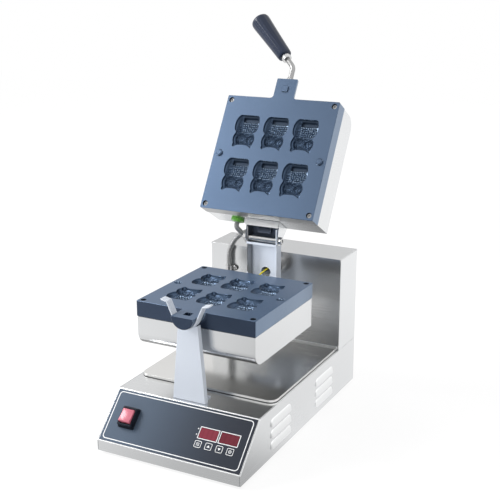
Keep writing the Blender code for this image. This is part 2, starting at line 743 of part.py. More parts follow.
def deck_plate(machine, materials):
    """A shallow turned-down plate on the deck, with rounded front corners."""
    half = DECK_PLATE_WIDTH / 2
    back = TOWER_FRONT - GAP

    def outline(inset, end):
        left = arc((-half + DECK_PLATE_CORNER, DECK_PLATE_FRONT + DECK_PLATE_CORNER),
                   DECK_PLATE_CORNER - inset, math.pi, 1.5 * math.pi, 6)
        right = arc((half - DECK_PLATE_CORNER, DECK_PLATE_FRONT + DECK_PLATE_CORNER),
                    DECK_PLATE_CORNER - inset, 1.5 * math.pi, 2 * math.pi, 6)
        return [*left, *right, (half - inset, end), (-half + inset, end)]

    low = DECK_HEIGHT + GAP
    plate = prism(outline(0.0, back), "Z", low, low + DECK_PLATE_RISE)
    plate = add("deck_plate", plate, machine, materials["steel"])
    inside = prism(outline(SHEET, back + OVERRUN), "Z", low - OVERRUN, low + DECK_PLATE_RISE - SHEET)
    cut(plate, add("deck_plate_inside", inside, machine))
    centre = (CONDUIT_X, CONDUIT_Y, DECK_HEIGHT)
    hole = rod(DECK_GLAND_RADIUS + GAP, -OVERRUN, DECK_PLATE_RISE + OVERRUN, (0, 0, 1), centre)
    cut(plate, add("deck_plate_gland_hole", hole, machine))


def control_panel(panel, materials):
    """Film, windows, keys and the rocker switch, all in the frame of the sloping face."""
    low = (-INNER_HALF_WIDTH + OVERLAY_MARGIN / 2, OVERLAY_MARGIN, GAP)
    high = (INNER_HALF_WIDTH - OVERLAY_MARGIN / 2, SLOPE_LENGTH - OVERLAY_MARGIN, GAP + OVERLAY_THICKNESS)
    film = add("panel_overlay", block(low, high), panel, materials["overlay"])
    cut(film, panel_hole("film_switch_hole", *grown(switch_body_area(), GAP), panel))
    window_top = GAP + OVERLAY_THICKNESS
    for name, x in (("display_window_left", DISPLAY_LEFT_X), ("display_window_right", DISPLAY_RIGHT_X)):
        area = ((-DISPLAY_WIDTH / 2, -DISPLAY_HEIGHT / 2), (DISPLAY_WIDTH / 2, DISPLAY_HEIGHT / 2))
        at = (x, DISPLAY_UP, 0.0)
        low, high = area
        add(name, block((*low, GAP), (*high, window_top)), panel, materials["window"], at)
        (x0, y0), (x1, y1) = grown(area, GAP)
        hole = block((x0, y0, -OVERRUN), (x1, y1, OVERRUN))
        cut(film, add(f"{name}_hole", hole, panel, at=at))
    for i, name in enumerate(KEY_NAMES):
        at = (KEY_FIRST_X + i * KEY_PITCH, KEY_UP, window_top)
        outline = rounded_rectangle(
            (-KEY_WIDTH / 2, -KEY_HEIGHT / 2), (KEY_WIDTH / 2, KEY_HEIGHT / 2), KEY_WIDTH / 6, 2
        )
        add(name, prism(outline, "Z", -KEY_DROP, KEY_RISE), panel, materials["overlay"], at)
        (x0, y0), (x1, y1) = grown(((-KEY_WIDTH / 2, -KEY_HEIGHT / 2), (KEY_WIDTH / 2, KEY_HEIGHT / 2)), GAP)
        hole = prism(rounded_rectangle((x0, y0), (x1, y1), KEY_WIDTH / 6, 2), "Z", -OVERRUN, OVERRUN)
        cut(film, add(f"{name}_hole", hole, panel, at=at))
    rocker_switch(panel, materials)
    controller(panel, materials)


def rocker_switch(panel, materials):
    half_width = SWITCH_WIDTH / 2
    half_length = SWITCH_LENGTH / 2
    at = (SWITCH_X, SWITCH_UP, 0.0)
    foot = GAP * 2 + OVERLAY_THICKNESS
    bezel = prism(
        rounded_rectangle((-half_width, -half_length), (half_width, half_length), SWITCH_CORNER, 3),
        "Z", foot, foot + SWITCH_RISE,
    )
    frame = add("switch_frame", bezel, panel, materials["black"], at)
    inner_width = ROCKER_WIDTH / 2 + ROCKER_CLEARANCE
    inner_length = ROCKER_LENGTH / 2 + ROCKER_CLEARANCE
    outer_width = inner_width + SWITCH_WALL
    outer_length = inner_length + SWITCH_WALL
    low = (-outer_width, -outer_length, -SWITCH_BODY_DEPTH)
    body = block(low, (outer_width, outer_length, foot + SWITCH_RISE / 2))
    join(frame, add("switch_body", body, panel, at=at))
    low = (-inner_width, -inner_length, foot - ROCKER_HEIGHT)
    well = block(low, (inner_width, inner_length, foot + SWITCH_RISE + OVERRUN))
    cut(frame, add("switch_well", well, panel, at=at))
    half = ROCKER_LENGTH / 2
    crest = ROCKER_SKIRT + ROCKER_DIP
    outline = [
        (-half, -ROCKER_SKIRT), (half, -ROCKER_SKIRT), (half, ROCKER_SKIRT), (half / 2, crest),
        (0.0, ROCKER_SKIRT), (-half / 2, crest), (-half, ROCKER_SKIRT),
    ]
    rocker = prism(outline, "X", -ROCKER_WIDTH / 2, ROCKER_WIDTH / 2)
    place = (SWITCH_X, SWITCH_UP, foot + ROCKER_PIVOT)
    obj = add("power_rocker", rocker, panel, materials["red"], place)
    obj.rotation_euler.x = -ROCKER_TILT


def controller(panel, materials):
    """The circuit board behind the panel, with its display blocks and key switches."""
    middle = (DISPLAY_LEFT_X + DISPLAY_RIGHT_X) / 2
    up = (DISPLAY_UP + KEY_UP) / 2
    board_top = -BOARD_DEPTH
    low = (middle - BOARD_WIDTH / 2, up - BOARD_HEIGHT / 2, board_top - BOARD_THICKNESS)
    high = (middle + BOARD_WIDTH / 2, up + BOARD_HEIGHT / 2, board_top)
    board = add("controller_board", block(low, high), panel, materials["board"])
    for name, x in (("left", DISPLAY_LEFT_X), ("right", DISPLAY_RIGHT_X)):
        half_width = DISPLAY_WIDTH / 2 - SHEET
        half_height = DISPLAY_HEIGHT / 2 - SHEET
        low = (x - half_width, DISPLAY_UP - half_height, board_top - BOARD_THICKNESS / 2)
        display = block(low, (x + half_width, DISPLAY_UP + half_height, 0.0))
        join(board, add(f"display_block_{name}", display, panel))
    switch_top = GAP + OVERLAY_THICKNESS - KEY_DROP - KEY_TRAVEL - GAP
    for i in range(len(KEY_NAMES)):
        x = KEY_FIRST_X + i * KEY_PITCH
        low = (x - KEY_WIDTH / 4, KEY_UP - KEY_HEIGHT / 4, board_top - BOARD_THICKNESS / 2)
        button = block(low, (x + KEY_WIDTH / 4, KEY_UP + KEY_HEIGHT / 4, switch_top))
        join(board, add(f"key_switch_{i}", button, panel))
    low = (middle - CHIP_SIZE / 2, up - CHIP_SIZE / 2, board_top - BOARD_THICKNESS - CHIP_HEIGHT)
    chip = block(low, (middle + CHIP_SIZE / 2, up + CHIP_SIZE / 2, board_top - BOARD_THICKNESS / 2))
    join(board, add("controller_chip", chip, panel))


def electrics(machine, materials):
    """The heater relay and the terminal block on the bottom plate, and the inlet for the mains cord."""
    floor = SHEET + GAP
    width, depth, height = RELAY_SIZE
    x, y = RELAY_PLACE
    low = (x - width / 2, y - depth / 2, floor)
    base = block(low, (x + width / 2, y + depth / 2, floor + RELAY_BASE))
    relay = add("heater_relay", base, machine, materials["black"])
    half_width, half_depth = width * RELAY_BODY_SHARES[0] / 2, depth * RELAY_BODY_SHARES[1] / 2
    low = (x - half_width, y - half_depth, floor + RELAY_BASE / 2)
    join(relay, add("relay_body", block(low, (x + half_width, y + half_depth, floor + height)), machine))
    width, depth, height = TERMINAL_SIZE
    x, y = TERMINAL_PLACE
    low = (x - width / 2, y - depth / 2, floor)
    body = block(low, (x + width / 2, y + depth / 2, floor + height))
    terminals = add("terminal_block", body, machine, materials["black"])
    for i in range(TERMINAL_WAYS):
        centre = x - width / 2 + (i + 0.5) * width / TERMINAL_WAYS
        low = (centre - TERMINAL_SLOT / 2, y - depth, floor + height / 2)
        slot = block(low, (centre + TERMINAL_SLOT / 2, y - depth / 4, floor + height + OVERRUN))
        cut(terminals, add(f"terminal_slot_{i}", slot, machine))
    outer = BASE_DEPTH + GAP
    inner = BASE_DEPTH - SHEET - GAP
    profile = [
        (MAINS_GLAND_BORE, inner - MAINS_GLAND_INSIDE), (MAINS_GLAND_RADIUS, inner - MAINS_GLAND_INSIDE),
        (MAINS_GLAND_RADIUS, inner), (MAINS_GLAND_NECK, inner), (MAINS_GLAND_NECK, outer),
        (MAINS_GLAND_RADIUS, outer), (MAINS_GLAND_RADIUS, outer + MAINS_GLAND_PROUD / 2),
        (MAINS_GLAND_NECK, outer + MAINS_GLAND_PROUD), (MAINS_GLAND_BORE, outer + MAINS_GLAND_PROUD),
    ]
    place = (MAINS_GLAND_X, 0.0, MAINS_GLAND_HEIGHT)
    add("mains_gland", turned(profile, (0, 1, 0), place, SMALL_STEPS), machine, materials["black"])


def front_arm(machine, materials):
    """The tapered channel that stands on the deck, and the forked saddle that the round lug turns in."""
    foot = DECK_HEIGHT + GAP
    top = PARTING_HEIGHT - ARM_TOP_DROP
    outline = [(-ARM_HALF_FOOT, foot), (ARM_HALF_FOOT, foot), (ARM_HALF_TOP, top), (-ARM_HALF_TOP, top)]
    channel = prism(outline, "Y", ARM_FRONT, ARM_FRONT + ARM_DEPTH)
    arm = add("support_arm", channel, machine, materials["steel"])
    outline = [
        (-ARM_HALF_FOOT + ARM_SHEET, foot - OVERRUN), (ARM_HALF_FOOT - ARM_SHEET, foot - OVERRUN),
        (ARM_HALF_TOP - ARM_SHEET, top + OVERRUN), (-ARM_HALF_TOP + ARM_SHEET, top + OVERRUN),
    ]
    hollow = prism(outline, "Y", ARM_FRONT + ARM_SHEET, ARM_FRONT + ARM_DEPTH + OVERRUN)
    cut(arm, add("arm_hollow", hollow, machine))
    half = ARM_HALF_FOOT - ARM_FOOT_MARGIN
    low = (-half, ARM_FRONT + ARM_SHEET / 2, foot)
    base = block(low, (half, ARM_FRONT + ARM_FOOT_LENGTH, foot + ARM_SHEET))
    join(arm, add("arm_foot", base, machine))
    saddle = LUG_RADIUS + CRADLE_CLEARANCE
    centre = (0.0, 0.0, PARTING_HEIGHT)
    round_top = rod(saddle + CRADLE_SHEET + GAP, 0.0, MOULD_FRONT, (0, 1, 0), centre, ROUND_STEPS)
    cut(arm, add("arm_round_top", round_top, machine))
    start = 1.5 * math.pi - CRADLE_HALF_WRAP
    end = 1.5 * math.pi + CRADLE_HALF_WRAP
    curve = arc((0.0, PARTING_HEIGHT), saddle, start, end, 12)
    lean = Vector((-math.sin(end), math.cos(end)))
    right = Vector(curve[-1]) + lean * PRONG_LENGTH
    tip = right + Vector((math.cos(FLAP_RISE), math.sin(FLAP_RISE))) * FLAP_LENGTH
    path = [(-tip.x, tip.y), (-right.x, right.y), *curve, tuple(right), tuple(tip)]
    strip = prism(bent_sheet(path, CRADLE_SHEET), "Y", CRADLE_FRONT, CRADLE_FRONT + CRADLE_WIDTH)
    cradle = add("lug_cradle", strip, machine, materials["steel"])
    half = tip.x + CRADLE_SHEET
    plan = rounded_rectangle((-half, CRADLE_FRONT), (half, CRADLE_FRONT + CRADLE_WIDTH), FLAP_CORNER)
    corners = add("cradle_plan", prism(plan, "Z", foot, tip.y + CRADLE_SHEET + OVERRUN), machine)
    combine(cradle, "INTERSECT", [corners])


def mould_level(side, depth):
    """The height of a depth behind a mould's face: side is -1 for the lower mould, 1 for the upper."""
    return PARTING_HEIGHT + side * depth + (PLATE_GAP if side > 0 else 0.0)


def owl_tool(scrap):
    """The solid that shapes one cavity, drawn with its face at zero height, the ears towards +Y."""
    half = OWL_WIDTH / 2
    right = [(x * half, (y - 0.5) * OWL_HEIGHT) for x, y in OWL_OUTLINE_SHARES]
    outline = right + [(-x, y) for x, y in reversed(right)]
    bm = prism(outline, "Z", -OWL_POCKET_DEPTH, OVERRUN)
    shrink = 1.0 - OWL_DRAFT / half
    for vert in bm.verts:
        if vert.co.z < 0.0:
            vert.co.x *= shrink
            vert.co.y *= shrink
    tool = add("owl_pocket", bm, scrap)

    def dome(name, shares, depth, steps):
        x, y, width, height = shares
        shape = bmesh.new()
        centre = Vector((x * half, (y - 0.5) * OWL_HEIGHT, -OWL_POCKET_DEPTH + OWL_DOME_RISE))
        size = Matrix.Diagonal((width * half, height * OWL_HEIGHT, depth + OWL_DOME_RISE, 1.0))
        bmesh.ops.create_uvsphere(
            shape, u_segments=steps, v_segments=6, radius=1.0, matrix=Matrix.Translation(centre) @ size
        )
        return add(name, shape, scrap)

    x, y, width, height = OWL_WING_SHARES
    pieces = [
        dome("owl_head", OWL_HEAD_SHARES, OWL_DOME_DEPTH, 10),
        dome("owl_belly", OWL_BELLY_SHARES, OWL_DOME_DEPTH, 10),
        dome("owl_wing_left", (-x, y, width, height), OWL_DOME_DEPTH / 2, 8),
        dome("owl_wing_right", (x, y, width, height), OWL_DOME_DEPTH / 2, 8),
    ]
    floor = -OWL_POCKET_DEPTH - OWL_DOME_DEPTH
    start = -OWL_POCKET_DEPTH / 2
    x, y = OWL_EYE_SHARES
    for name, side in (("owl_eye_left", -1), ("owl_eye_right", 1)):
        centre = (side * x * half, (y - 0.5) * OWL_HEIGHT, 0.0)
        eye = ring(OWL_PUPIL_RADIUS, OWL_EYE_RADIUS, floor - OWL_EYE_DEPTH, start, (0, 0, 1), centre, 8)
        pieces.append(add(name, eye, scrap))
    x, y = OWL_BEAK_SHARES
    centre = (x * half, (y - 0.5) * OWL_HEIGHT, 0.0)
    profile = [(0.0, start), (OWL_BEAK_SIZE, start), (0.0, floor - OWL_BEAK_DEPTH)]
    pieces.append(add("owl_beak", turned(profile, (0, 0, 1), centre, 4), scrap))
    x, y = OWL_PERCH_SHARES
    centre = (0.0, (y - 0.5) * OWL_HEIGHT, -OWL_POCKET_DEPTH + OWL_PERCH_RISE)
    perch = rod(OWL_PERCH_RADIUS, -x * half, x * half, (1, 0, 0), centre, 8)
    pieces.append(add("owl_perch", perch, scrap))
    join(tool, *pieces)
    hide_tool(tool)
    bpy.context.view_layer.update()
    graph = bpy.context.evaluated_depsgraph_get()
    shape = bmesh.new()
    shape.from_mesh(bpy.data.meshes.new_from_object(tool.evaluated_get(graph)))
    bmesh.ops.remove_doubles(shape, verts=shape.verts, dist=OWL_WELD)
    for obj in [tool, *pieces]:
        bpy.data.objects.remove(obj, do_unlink=True)
    return shape


def owl_centres():
    """Three owls in each row, and as many rows as the mould's depth holds."""
    rows = max(1, int((MOULD_DEPTH - OWL_ROW_MARGIN) / OWL_PITCH_Y))
    first = MOULD_FRONT + (MOULD_DEPTH - (rows - 1) * OWL_PITCH_Y) / 2
    return [(i * OWL_PITCH_X, first + row * OWL_PITCH_Y) for row in range(rows) for i in (-1, 0, 1)]


def screw_places():
    ys = (MOULD_FRONT + SCREW_FROM_EDGE, MOULD_REAR - SCREW_FROM_EDGE)
    return [(side * SCREW_X, y) for y in ys for side in (-1, 1)]


def mould_plate(name, side, group, materials, owl):
    """A cast plate with half of the round lug, six owl cavities, and the screw and dowel places."""
    face = mould_level(side, 0.0)
    back = mould_level(side, PLATE_THICKNESS)
    half = MOULD_WIDTH / 2
    low, high = min(face, back), max(face, back)
    body = block((-half, MOULD_FRONT, low), (half, MOULD_REAR, high))
    edges = [e for e in body.edges if abs(e.verts[0].co.z - e.verts[1].co.z) < PLATE_EDGE]
    outer = [e for e in edges if abs(e.verts[0].co.z - back) < PLATE_EDGE]
    bmesh.ops.bevel(body, geom=outer, offset=PLATE_EDGE, segments=1, affect="EDGES")
    plate = add(name, body, group, materials["mould"])
    turn = math.pi if side < 0 else 0.0
    outline = arc((0.0, face), LUG_RADIUS, turn, turn + math.pi, 18)
    lug = prism(outline, "Y", MOULD_FRONT - LUG_LENGTH, MOULD_FRONT + LUG_ROOT)
    join(plate, add(f"{name}_lug", lug, group))
    tools = bmesh.new()
    for x, y in owl_centres():
        copy = bpy.data.meshes.new(f"{name}_owl")
        owl.to_mesh(copy)
        copy.transform(Matrix.Translation((x, y, face)) @ Matrix.Diagonal((1.0, 1.0, -side, 1.0)))
        tools.from_mesh(copy)
    cut(plate, add(f"{name}_owls", tools, group))
    head_bottom = SCREW_SUNK + SCREW_HEAD_HEIGHT + SCREW_CLEARANCE
    for i, (x, y) in enumerate(screw_places()):
        wide = SCREW_HEAD_RADIUS + SCREW_CLEARANCE
        narrow = SCREW_SHANK_RADIUS + SCREW_CLEARANCE
        profile = [
            (0.0, OVERRUN), (wide, OVERRUN), (wide, -head_bottom), (narrow, -head_bottom),
            (narrow, -head_bottom - SCREW_LENGTH), (0.0, -head_bottom - SCREW_LENGTH),
        ]
        hole = turned(profile, (0, 0, -side), (x, y, face), 10)
        cut(plate, add(f"{name}_screw_hole_{i}", hole, group))
    return plate


def plate_screws(prefix, side, group, materials):
    """Socket screws sunk in the plate's corners."""
    face = mould_level(side, 0.0)
    top = -SCREW_SUNK
    under = top - SCREW_HEAD_HEIGHT
    tip = under - SCREW_LENGTH + SCREW_CLEARANCE * 2
    for i, (x, y) in enumerate(screw_places()):
        profile = [
            (0.0, top), (SCREW_HEAD_RADIUS, top), (SCREW_HEAD_RADIUS, under), (SCREW_SHANK_RADIUS, under),
            (SCREW_SHANK_RADIUS, tip), (0.0, tip),
        ]
        name = f"{prefix}_screw_{i + 1}"
        screw = add(name, turned(profile, (0, 0, -side), (x, y, face), 10), group, materials["chrome"])
        socket = rod(SCREW_HEX_RADIUS, top - SCREW_HEX_DEPTH, top + OVERRUN, (0, 0, -side), (x, y, face), 6)
        cut(screw, add(f"{name}_socket", socket, group))


def lower_details(plate, group):
    """The socket for the key block and those for the dowels."""
    face = mould_level(-1, 0.0)
    centre_y = MOULD_FRONT - KEY_BLOCK_FROM_FRONT
    half = KEY_BLOCK_SIDE / 2 + KEY_SOCKET_CLEARANCE
    depth = KEY_BLOCK_HEIGHT + KEY_SOCKET_EXTRA_DEPTH
    socket = block((-half, centre_y - half, face - depth), (half, centre_y + half, face + OVERRUN))
    cut(plate, add("key_socket", socket, group))
    depth = DOWEL_HEIGHT + DOWEL_SOCKET_EXTRA_DEPTH
    for side in (-1, 1):
        profile = [
            (0.0, OVERRUN), (DOWEL_RADIUS + DOWEL_SOCKET_CLEARANCE, OVERRUN),
            (DOWEL_RADIUS + DOWEL_SOCKET_CLEARANCE, 0.0), (DOWEL_TIP_RADIUS + DOWEL_SOCKET_CLEARANCE, -depth),
            (0.0, -depth),
        ]
        centre = (side * DOWEL_X, MOULD_REAR - DOWEL_FROM_REAR, face)
        name = "dowel_socket_right" if side > 0 else "dowel_socket_left"
        cut(plate, add(name, turned(profile, (0, 0, 1), centre, SMALL_STEPS), group))


def upper_details(plate, group):
    """The key block on the lug and the dowels, which enter the lower mould as the pair closes."""
    face = mould_level(1, 0.0)
    centre_y = MOULD_FRONT - KEY_BLOCK_FROM_FRONT
    half = KEY_BLOCK_SIDE / 2
    key = block((-half, centre_y - half, face - KEY_BLOCK_HEIGHT), (half, centre_y + half, face + OVERRUN))
    join(plate, add("key_block", key, group))
    for side in (-1, 1):
        profile = [
            (0.0, OVERRUN), (DOWEL_RADIUS, OVERRUN), (DOWEL_RADIUS, 0.0),
            (DOWEL_TIP_RADIUS, -DOWEL_HEIGHT), (0.0, -DOWEL_HEIGHT),
        ]
        centre = (side * DOWEL_X, MOULD_REAR - DOWEL_FROM_REAR, face)
        name = "dowel_right" if side > 0 else "dowel_left"
        join(plate, add(name, turned(profile, (0, 0, 1), centre, SMALL_STEPS), group))


def mould_housing(name, side, group, materials):
    """The steel pan behind a plate, rounded along its free edge."""

    def profile(inset, open_depth):
        front = MOULD_FRONT + HOUSING_INSET + inset
        rear = MOULD_REAR - HOUSING_INSET - inset
        deep = PLATE_THICKNESS + HOUSING_DEPTH - inset
        radius = HOUSING_ROUND - inset
        curve = arc((front + radius, deep - radius), radius, math.pi, math.pi / 2, 8)
        points = [(front, open_depth), *curve, (rear, deep), (rear, open_depth)]
        return [(y, mould_level(side, depth)) for y, depth in points]

    half = MOULD_WIDTH / 2 - HOUSING_INSET
    mouth = PLATE_THICKNESS + GAP
    shell = add(name, prism(profile(0.0, mouth), "X", -half, half), group, materials["steel"])
    inner = half - HOUSING_SHEET
    inside = prism(profile(HOUSING_SHEET, mouth - OVERRUN), "X", -inner, inner)
    cut(shell, add(f"{name}_inside", inside, group))
    return shell


def heater(name, side, group, materials):
    """A tubular element bent twice over the back of the plate."""
    level = mould_level(side, PLATE_THICKNESS + GAP + HEATER_RADIUS)
    near = MOULD_FRONT + HEATER_FROM_EDGE
    far = MOULD_REAR - HEATER_FROM_EDGE
    plan = [
        (-HEATER_HALF_SPAN, far), (-HEATER_HALF_SPAN, near), (-HEATER_INNER_X, near), (-HEATER_INNER_X, far),
        (HEATER_INNER_X, far), (HEATER_INNER_X, near), (HEATER_HALF_SPAN, near), (HEATER_HALF_SPAN, far),
    ]
    path = rounded_path([(x, y, level) for x, y in plan], HEATER_BEND)
    wire(name, path, HEATER_RADIUS, group, materials["chrome"], resolution=1)


def hinge_column(group, materials):
    """The channel that rises behind the lower mould, with gussets to its housing and the hinge at its top."""
    front = HINGE_Y - COLUMN_FRONT_TO_PIN
    wall = MOULD_REAR - HOUSING_INSET + GAP
    bottom = PARTING_HEIGHT - COLUMN_BELOW_PARTING
    top = HINGE_Z + COLUMN_ABOVE_PIN
    gusset_top = PARTING_HEIGHT - GUSSET_TOP_BELOW_PARTING
    gusset_bottom = PARTING_HEIGHT - GUSSET_BOTTOM_BELOW_PARTING
    outline = [
        (WEB_REAR, bottom), (WEB_REAR, top), (front, top), (front, gusset_top), (wall, gusset_bottom),
        (wall, bottom),
    ]
    half = COLUMN_HALF_WIDTH
    column = add("hinge_column", prism(outline, "X", -half, half), group, materials["steel"])
    outline = [
        (WEB_FRONT, bottom - OVERRUN), (WEB_FRONT, top + OVERRUN), (front - OVERRUN, top + OVERRUN),
        (front - OVERRUN, gusset_top), (wall + COLUMN_SHEET, gusset_bottom - COLUMN_SHEET),
        (wall + COLUMN_SHEET, bottom - OVERRUN),
    ]
    inner = half - COLUMN_SHEET
    cut(column, add("column_channel", prism(outline, "X", -inner, inner), group))
    strip_top = HINGE_Z - TIE_STRIP_BELOW_PIN
    low = (-half, front - TIE_STRIP_SHEET, strip_top - TIE_STRIP_HEIGHT)
    strip = block(low, (half, front + COLUMN_SHEET / 4, strip_top))
    join(column, add("column_tie_strip", strip, group))
    centre = (0.0, WEB_FRONT, PARTING_HEIGHT - WEB_HOLE_BELOW_PARTING)
    hole = rod(WEB_HOLE_RADIUS, -OVERRUN, COLUMN_SHEET + OVERRUN, (0, 1, 0), centre, 20)
    cut(column, add("column_wire_hole", hole, group))
    reach = half + OVERRUN
    hole = rod(PIN_RADIUS + PIN_CLEARANCE, -reach, reach, (1, 0, 0), (0.0, HINGE_Y, HINGE_Z))
    cut(column, add("column_pin_hole", hole, group))


def hinge_pin(group, materials):
    """The pin with its round head, the sleeve between the column's flanges, and the nut."""
    pin = (0.0, HINGE_Y, HINGE_Z)
    outside = COLUMN_HALF_WIDTH + BRACKET_CLEARANCE + BRACKET_SHEET + GAP
    profile = [
        (0.0, -outside - PIN_NUT_LENGTH - PIN_TAIL), (PIN_RADIUS, -outside - PIN_NUT_LENGTH - PIN_TAIL),
        (PIN_RADIUS, outside), (PIN_HEAD_RADIUS, outside),
        (PIN_HEAD_RADIUS - PIN_HEAD_TAPER, outside + PIN_HEAD_LENGTH), (0.0, outside + PIN_HEAD_LENGTH),
    ]
    add("hinge_pin", turned(profile, (1, 0, 0), pin, SMALL_STEPS), group, materials["chrome"])
    inner = PIN_RADIUS + PIN_CLEARANCE
    half = COLUMN_HALF_WIDTH - COLUMN_SHEET - GAP
    sleeve = ring(inner, inner + SLEEVE_WALL, -half, half, (1, 0, 0), pin, SMALL_STEPS)
    add("hinge_sleeve", sleeve, group, materials["chrome"])
    nut = rod(PIN_HEAD_RADIUS, -outside - PIN_NUT_LENGTH, -outside, (1, 0, 0), pin, 6)
    nut = add("hinge_nut", nut, group, materials["chrome"])
    hole = rod(inner, -outside - PIN_NUT_LENGTH - OVERRUN, -outside + OVERRUN, (1, 0, 0), pin, 12)
    cut(nut, add("hinge_nut_hole", hole, group))


def rotary_shaft(group, materials):
    """The hollow shaft that the mould pair turns on, bolted to the column's web by its flange."""
    start = WEB_REAR + GAP
    profile = [
        (SHAFT_BORE, start), (SHAFT_FLANGE_RADIUS, start), (SHAFT_FLANGE_RADIUS, start + SHAFT_FLANGE),
        (SHAFT_RADIUS, start + SHAFT_FLANGE), (SHAFT_RADIUS, SHAFT_END), (SHAFT_BORE, SHAFT_END),
    ]
    centre = (0.0, 0.0, PARTING_HEIGHT)
    add("rotary_shaft", turned(profile, (0, 1, 0), centre, ROUND_STEPS), group, materials["chrome"])


def bearings(machine, materials):
    """The flanged bearing in the tower's front, and the rear one on its bracket inside."""
    bore = SHAFT_RADIUS + BEARING_CLEARANCE
    centre = (0.0, 0.0, PARTING_HEIGHT)
    front = TOWER_FRONT - GAP
    profile = [
        (bore, front - BEARING_PROUD), (BEARING_RADIUS, front - BEARING_PROUD), (BEARING_RADIUS, front),
        (BEARING_SLEEVE_RADIUS, front), (BEARING_SLEEVE_RADIUS, front + BEARING_SLEEVE_LENGTH),
        (bore, front + BEARING_SLEEVE_LENGTH),
    ]
    add("front_bearing", turned(profile, (0, 1, 0), centre, ROUND_STEPS), machine, materials["chrome"])
    start = BASE_DEPTH - SHAFT_BRACKET_TO_BACK
    foot = DECK_HEIGHT + GAP
    half = SHAFT_BRACKET_HALF_WIDTH
    path = [
        (start + SHAFT_BRACKET_FOOT, foot), (start, foot),
        (start, PARTING_HEIGHT + SHAFT_BRACKET_ABOVE),
    ]
    plate = prism(bent_sheet(path, SHAFT_BRACKET_SHEET), "X", -half, half)
    bracket = add("shaft_bracket", plate, machine, materials["steel"])
    seat = BEARING_SLEEVE_RADIUS + GAP
    hole = rod(seat, start - OVERRUN, start + SHAFT_BRACKET_SHEET + OVERRUN, (0, 1, 0), centre, ROUND_STEPS)
    cut(bracket, add("rear_bearing_hole", hole, machine))
    low = start + SHAFT_BRACKET_SHEET / 2 - REAR_BEARING_LENGTH / 2
    bush = ring(bore, BEARING_SLEEVE_RADIUS, low, low + REAR_BEARING_LENGTH, (0, 1, 0), centre)
    add("rear_bearing", bush, machine, materials["chrome"])


def hinge_bracket(group, materials):
    """The bracket on the upper housing: two ears on the pin and a tongue that stops on the column's web."""
    wall = MOULD_REAR - HOUSING_INSET + GAP
    inner = COLUMN_HALF_WIDTH + BRACKET_CLEARANCE
    outer = inner + BRACKET_SHEET
    radius = BRACKET_EAR_RADIUS
    curve = arc((HINGE_Y, HINGE_Z), radius, -math.pi / 3, math.pi / 3, 8)
    outline = [(wall, HINGE_Z - BRACKET_HALF_HEIGHT), *curve, (wall, HINGE_Z + BRACKET_HALF_HEIGHT)]
    bracket = add("hinge_bracket", prism(outline, "X", -outer, outer), group, materials["chrome"])
    low = (-inner, wall + BRACKET_SHEET, HINGE_Z - BRACKET_HALF_HEIGHT - OVERRUN)
    between = block(low, (inner, HINGE_Y + radius + OVERRUN, HINGE_Z + BRACKET_HALF_HEIGHT + OVERRUN))
    cut(bracket, add("bracket_inside", between, group))
    web_top = Vector((COLUMN_WEB_TO_PIN, COLUMN_ABOVE_PIN))
    lean = OPEN_ANGLE - math.pi / 2
    stop = web_top.x * math.cos(lean) - web_top.y * math.sin(lean) - GAP
    low = (-STOP_TONGUE_HALF_WIDTH, wall + BRACKET_SHEET / 2, HINGE_Z + stop - BRACKET_SHEET)
    tongue = block(low, (STOP_TONGUE_HALF_WIDTH, HINGE_Y - STOP_TONGUE_TO_PIN, HINGE_Z + stop))
    join(bracket, add("bracket_tongue", tongue, group))
    reach = outer + OVERRUN
    hole = rod(PIN_RADIUS + PIN_CLEARANCE, -reach, reach, (1, 0, 0), (0.0, HINGE_Y, HINGE_Z))
    cut(bracket, add("bracket_pin_hole", hole, group))


def upper_gland(group, materials, housing):
    """The gland on the upper housing's hinge side, its stem through the wall."""
    wall = MOULD_REAR - HOUSING_INSET
    place = (UPPER_GLAND_X, 0.0, mould_level(1, UPPER_GLAND_DEPTH))
    outer = wall + GAP
    inner = wall - HOUSING_SHEET - GAP
    bore = CONDUIT_BORE
    profile = [
        (bore, inner - GLAND_LENGTH / 2), (GLAND_RADIUS, inner - GLAND_LENGTH / 2), (GLAND_RADIUS, inner),
        (GLAND_STEM_RADIUS, inner), (GLAND_STEM_RADIUS, outer), (GLAND_RADIUS, outer),
        (GLAND_RADIUS, outer + GLAND_SHOULDER), (GLAND_NOSE_RADIUS, outer + GLAND_LENGTH),
        (bore, outer + GLAND_LENGTH),
    ]
    add("upper_gland", turned(profile, (0, 1, 0), place, SMALL_STEPS), group, materials["green"])
    hole = rod(GLAND_STEM_RADIUS + GAP, wall - OVERRUN, wall + OVERRUN, (0, 1, 0), place)
    cut(housing, add("upper_gland_hole", hole, group))


